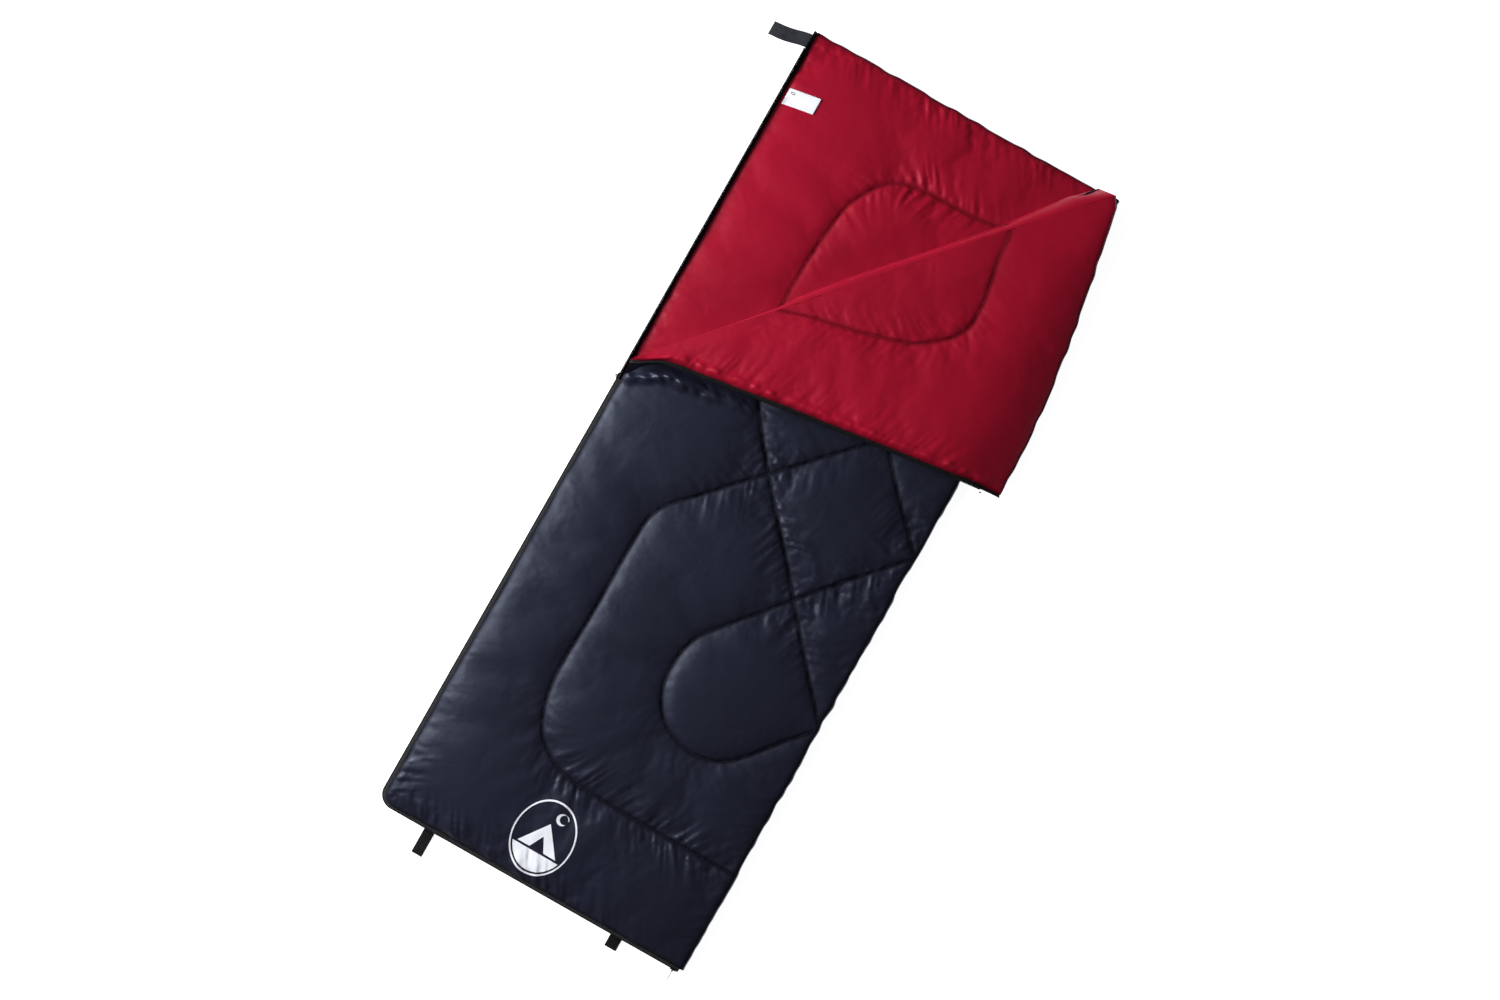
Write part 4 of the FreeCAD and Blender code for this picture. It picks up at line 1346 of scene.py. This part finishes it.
def make_loop(side):
    """A folded loop of black webbing at the foot, pinched a little past its middle."""
    low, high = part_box(f"{side}_foot_loop")
    middle = (low + high) / 2
    half_height = (high.z - low.z - LOOP_THICKNESS) / 2
    half_length = (high.y - low.y - LOOP_THICKNESS) / 2
    centres = []
    for turn in np.linspace(0, 2 * math.pi, LOOP_RINGS, endpoint=False):
        ahead = squared(math.cos(turn), LOOP_FLATNESS)
        upward = squared(math.sin(turn), LOOP_ROUNDING)
        pinch = 1 - LOOP_PINCH * math.exp(-(((ahead + 0.1) / 0.35) ** 2))
        centres.append((middle.x, middle.y + half_length * ahead, middle.z + half_height * upward * pinch))
    loop = ribbon(f"{side}_loop_webbing", centres, SIDEWAYS, high.x - low.x, LOOP_THICKNESS, "black_webbing",
                  closed=True)
    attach(loop, f"{side}_foot_loop")
    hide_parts(f"{side}_foot_loop")


def make_loop_tail(side):
    """The flat end of a loop's webbing, which is sewn into the foot of the base."""
    low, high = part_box(f"{side}_loop_tail")
    loop_low, loop_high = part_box(f"{side}_foot_loop")
    middle_x = (loop_low.x + loop_high.x) / 2
    places = np.linspace(high.y + TAIL_TUCK, low.y, TAIL_RINGS)
    centres = [(middle_x, y, (low.z + high.z) / 2) for y in places]
    tail = ribbon(f"{side}_tail_webbing", centres, SIDEWAYS, high.x - low.x, LOOP_THICKNESS, "black_webbing")
    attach(tail, "base")
    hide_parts(f"{side}_loop_tail")


def surface_finder(piece):
    """Gives the height of a piece's upper surface at x and y."""
    mesh = piece.data
    tree = BVHTree.FromPolygons([v.co for v in mesh.vertices], [p.vertices for p in mesh.polygons])

    def height(x, y):
        hit = tree.ray_cast(Vector((x, y, 1)), Vector((0, 0, -1)))[0]
        return hit.z

    return height


LABEL_ROWS = 20
LABEL_COLUMNS = 37
LABEL_INSET = 3 * MM
LABEL_SLANT = 11 * MM
LABEL_LIFT = 0.9 * MM
LABEL_CURL = 1.2 * MM
LABEL_THICKNESS = 0.3 * MM
MARK_AROUND = 24
MARK_RADII = (5 * MM, 3 * MM)
MARK_HOLE = 0.6
MARK_LIFT = 0.15 * MM


def make_care_label(lining):
    """A white satin label on the lining, sewn in beside the zip."""
    low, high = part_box("care_label")
    height = surface_finder(lining)
    upper = []
    for up in np.linspace(0, 1, LABEL_ROWS):
        for share in np.linspace(0, 1, LABEL_COLUMNS):
            x = low.x - LABEL_INSET + (high.x - low.x) * share
            y = low.y + (high.y - low.y) * up + LABEL_SLANT * (share - 0.5)
            upper.append((x, y, height(x, y) + LABEL_LIFT + LABEL_CURL * share**3))
    lower = np.array(upper) - (0, 0, LABEL_THICKNESS)
    quads = grid_faces(LABEL_ROWS, LABEL_COLUMNS)
    triangles = np.array([t for a, b, c, d in quads for t in ((a, b, c), (a, c, d))])
    faces = two_sided(triangles, len(upper))
    label = add_piece("care_label_satin", np.vstack([upper, lower]), faces, "label")
    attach(label, "care_label")
    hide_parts("care_label")
    return label


def make_label_mark(label):
    """A plain dark oval ring on the care label."""
    low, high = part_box("care_label")
    height = surface_finder(label)
    middle = np.array([low.x + 9 * MM, high.y - 13 * MM])
    turns = np.linspace(0, 2 * math.pi, MARK_AROUND, endpoint=False)
    oval = np.column_stack([np.cos(turns), np.sin(turns)]) * MARK_RADII
    ring = np.vstack([oval, oval * MARK_HOLE]) + middle
    points = [(x, y, height(x, y) + MARK_LIFT) for x, y in ring]
    faces = grid_faces(2, MARK_AROUND, around=True)
    mark = add_piece("care_label_mark", points, faces, "grey_thread")
    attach(mark, "care_label")


PRINT_LENGTH = 172 * MM
PRINT_WIDTH = 138 * MM
PRINT_PLACE = (0.398, 0.102)
PRINT_LIFT = 0.5 * MM
PRINT_SPACING = 2.5 * MM
OVAL_AROUND = 72
OVAL_LINE = (1, 0.975, 0.95)

# The drawing inside the oval, in shares of the print's length from its middle.
TENT = [(-0.27, -0.17), (0, 0.20), (0.27, -0.17), (0.10, -0.17), (0, 0.02), (-0.10, -0.17)]
GROUND_REACH = 0.45
MOON_PLACE = (0.10, 0.31)
MOON_RADIUS = 0.075
MOON_HOLLOW_RADIUS = 0.06
MOON_HOLLOW_PLACE = (0.026, 0.012)


def arc(start, end, count):
    """Places on a circle of radius 1 between two angles."""
    turns = np.linspace(start, end, count)
    return np.column_stack([np.cos(turns), np.sin(turns)])


def print_shapes():
    """The print as closed outlines about its middle: an oval, and a tent, ground and a moon."""
    size = np.array([PRINT_WIDTH, PRINT_LENGTH])
    oval = arc(0, 2 * math.pi, OVAL_AROUND + 1)[:-1] * size / 2
    ground = arc(-0.46, 0.46 - math.pi, 40) * size * GROUND_REACH
    outer = arc(0.2, 2 * math.pi - 0.9, 26) * MOON_RADIUS
    inner = arc(2 * math.pi - 0.9, 0.2, 26) * MOON_HOLLOW_RADIUS + MOON_HOLLOW_PLACE
    moon = (np.vstack([outer, inner]) + MOON_PLACE) * PRINT_LENGTH
    return oval, [np.array(TENT) * PRINT_LENGTH, ground, moon]


TRIANGLES_INSIDE = 1


def filled_outline(outline, spacing):
    """Triangles that fill a closed outline."""
    sides = []
    for a, b in zip(outline, np.roll(outline, -1, axis=0)):
        sides.append(straight_route(a, b, spacing)[:-1] if math.dist(a, b) > 1.5 * spacing else [a])
    border = np.vstack(sides)
    count = len(border)
    edges = [(i, (i + 1) % count) for i in range(count)]
    near_border = nearest_finder(border)
    low, high = border.min(axis=0), border.max(axis=0)
    inner = [(x, y) for x in np.arange(low[0], high[0], spacing) for y in np.arange(low[1], high[1], spacing)
             if near_border(x, y)[2] > 0.5 * spacing]
    points = [Vector(place) for place in [*border.tolist(), *inner]]
    made = delaunay_2d_cdt(points, edges, [], TRIANGLES_INSIDE, 1e-6)
    return np.array([tuple(vertex) for vertex in made[0]]), made[2]


def make_print(shell):
    """A plain white camp print near the foot, laid on the shell. It replaces the real one."""
    height = surface_finder(shell)
    centre = on_bag([PRINT_PLACE])[0]
    oval, shapes = print_shapes()
    ring = np.vstack([oval * share for share in OVAL_LINE])
    filled = [(ring, grid_faces(len(OVAL_LINE), OVAL_AROUND, around=True))]
    filled += [filled_outline(shape, PRINT_SPACING) for shape in shapes]
    points = []
    faces = []
    for flat, triangles in filled:
        faces += [tuple(len(points) + corner for corner in face) for face in triangles]
        for x, y in flat + centre:
            points.append((x, y, height(x, y) + PRINT_LIFT))
    piece = add_piece("foot_print", points, faces, "print")
    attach(piece, "cover")


# ---- Metal ----

# CAD pieces that are shown as they are, with the record's slots for them.
METAL_NODES = {
    "zip_stop": ["base_head_stop", "base_foot_stop", "cover_foot_stop", "flap_head_stop"],
    "slider": ["side_slider", "side_slider_bail", "foot_slider", "foot_slider_bail"],
    "pull": ["side_pull", "foot_pull"],
}
METAL_EDGE = 0.25 * MM


def finish_metal():
    """Materials and softened edges for the CAD pieces that are shown as they are."""
    for slot, nodes in METAL_NODES.items():
        for node in nodes:
            piece = frame["nodes"][node]
            piece.data.materials.clear()
            piece.data.materials.append(MATERIALS[slot])
            bevel = piece.modifiers.new("soft_edges", "BEVEL")
            bevel.width = METAL_EDGE
            bevel.segments = 2
            bevel.limit_method = "ANGLE"


# ---- The whole bag ----

# Where the cloth puckers most: (distance in from the joined side, distance up from the foot, reach).
SHELL_SPOTS = [(0.363, 1.016, 0.16), (0.18, 0.83, 0.13), (0.33, 0.24, 0.18), (0.05, 0.24, 0.15),
               (0.70, 0.03, 0.14), (0.03, 0.98, 0.2), (0.40, 0.0, 0.2)]
LINING_SPOTS = [(0.66, 1.10, 0.18), (0.33, 1.72, 0.14), (0.45, 1.2, 0.12), (0.2, 1.9, 0.4),
                (0.7, 1.85, 0.15)]
FLAP_LINING_SPOTS = [(0.66, 1.15, 0.2), (0.51, 1.33, 0.12), (0.50, 1.62, 0.14), (0.7, 1.5, 0.3)]

PANEL = triangulate_panel(PANEL_SPACING)
SHELL = Sheet(11, SHELL_SPOTS)
LINING = Sheet(12, LINING_SPOTS)
FLAP_LINING = Sheet(13, FLAP_LINING_SPOTS, fold_thinning=0.8)

make_camera()
make_stage()
layer_pieces = make_layers()
make_fillings()
make_joined_side()
make_fold()
make_hems()
make_zip()
make_threads()
make_head_tab()
for loop_side in ("left", "right"):
    make_loop(loop_side)
    make_loop_tail(loop_side)
care_label = make_care_label(layer_pieces["base", "lining"])
make_label_mark(care_label)
make_print(layer_pieces["cover", "shell"])
finish_metal()
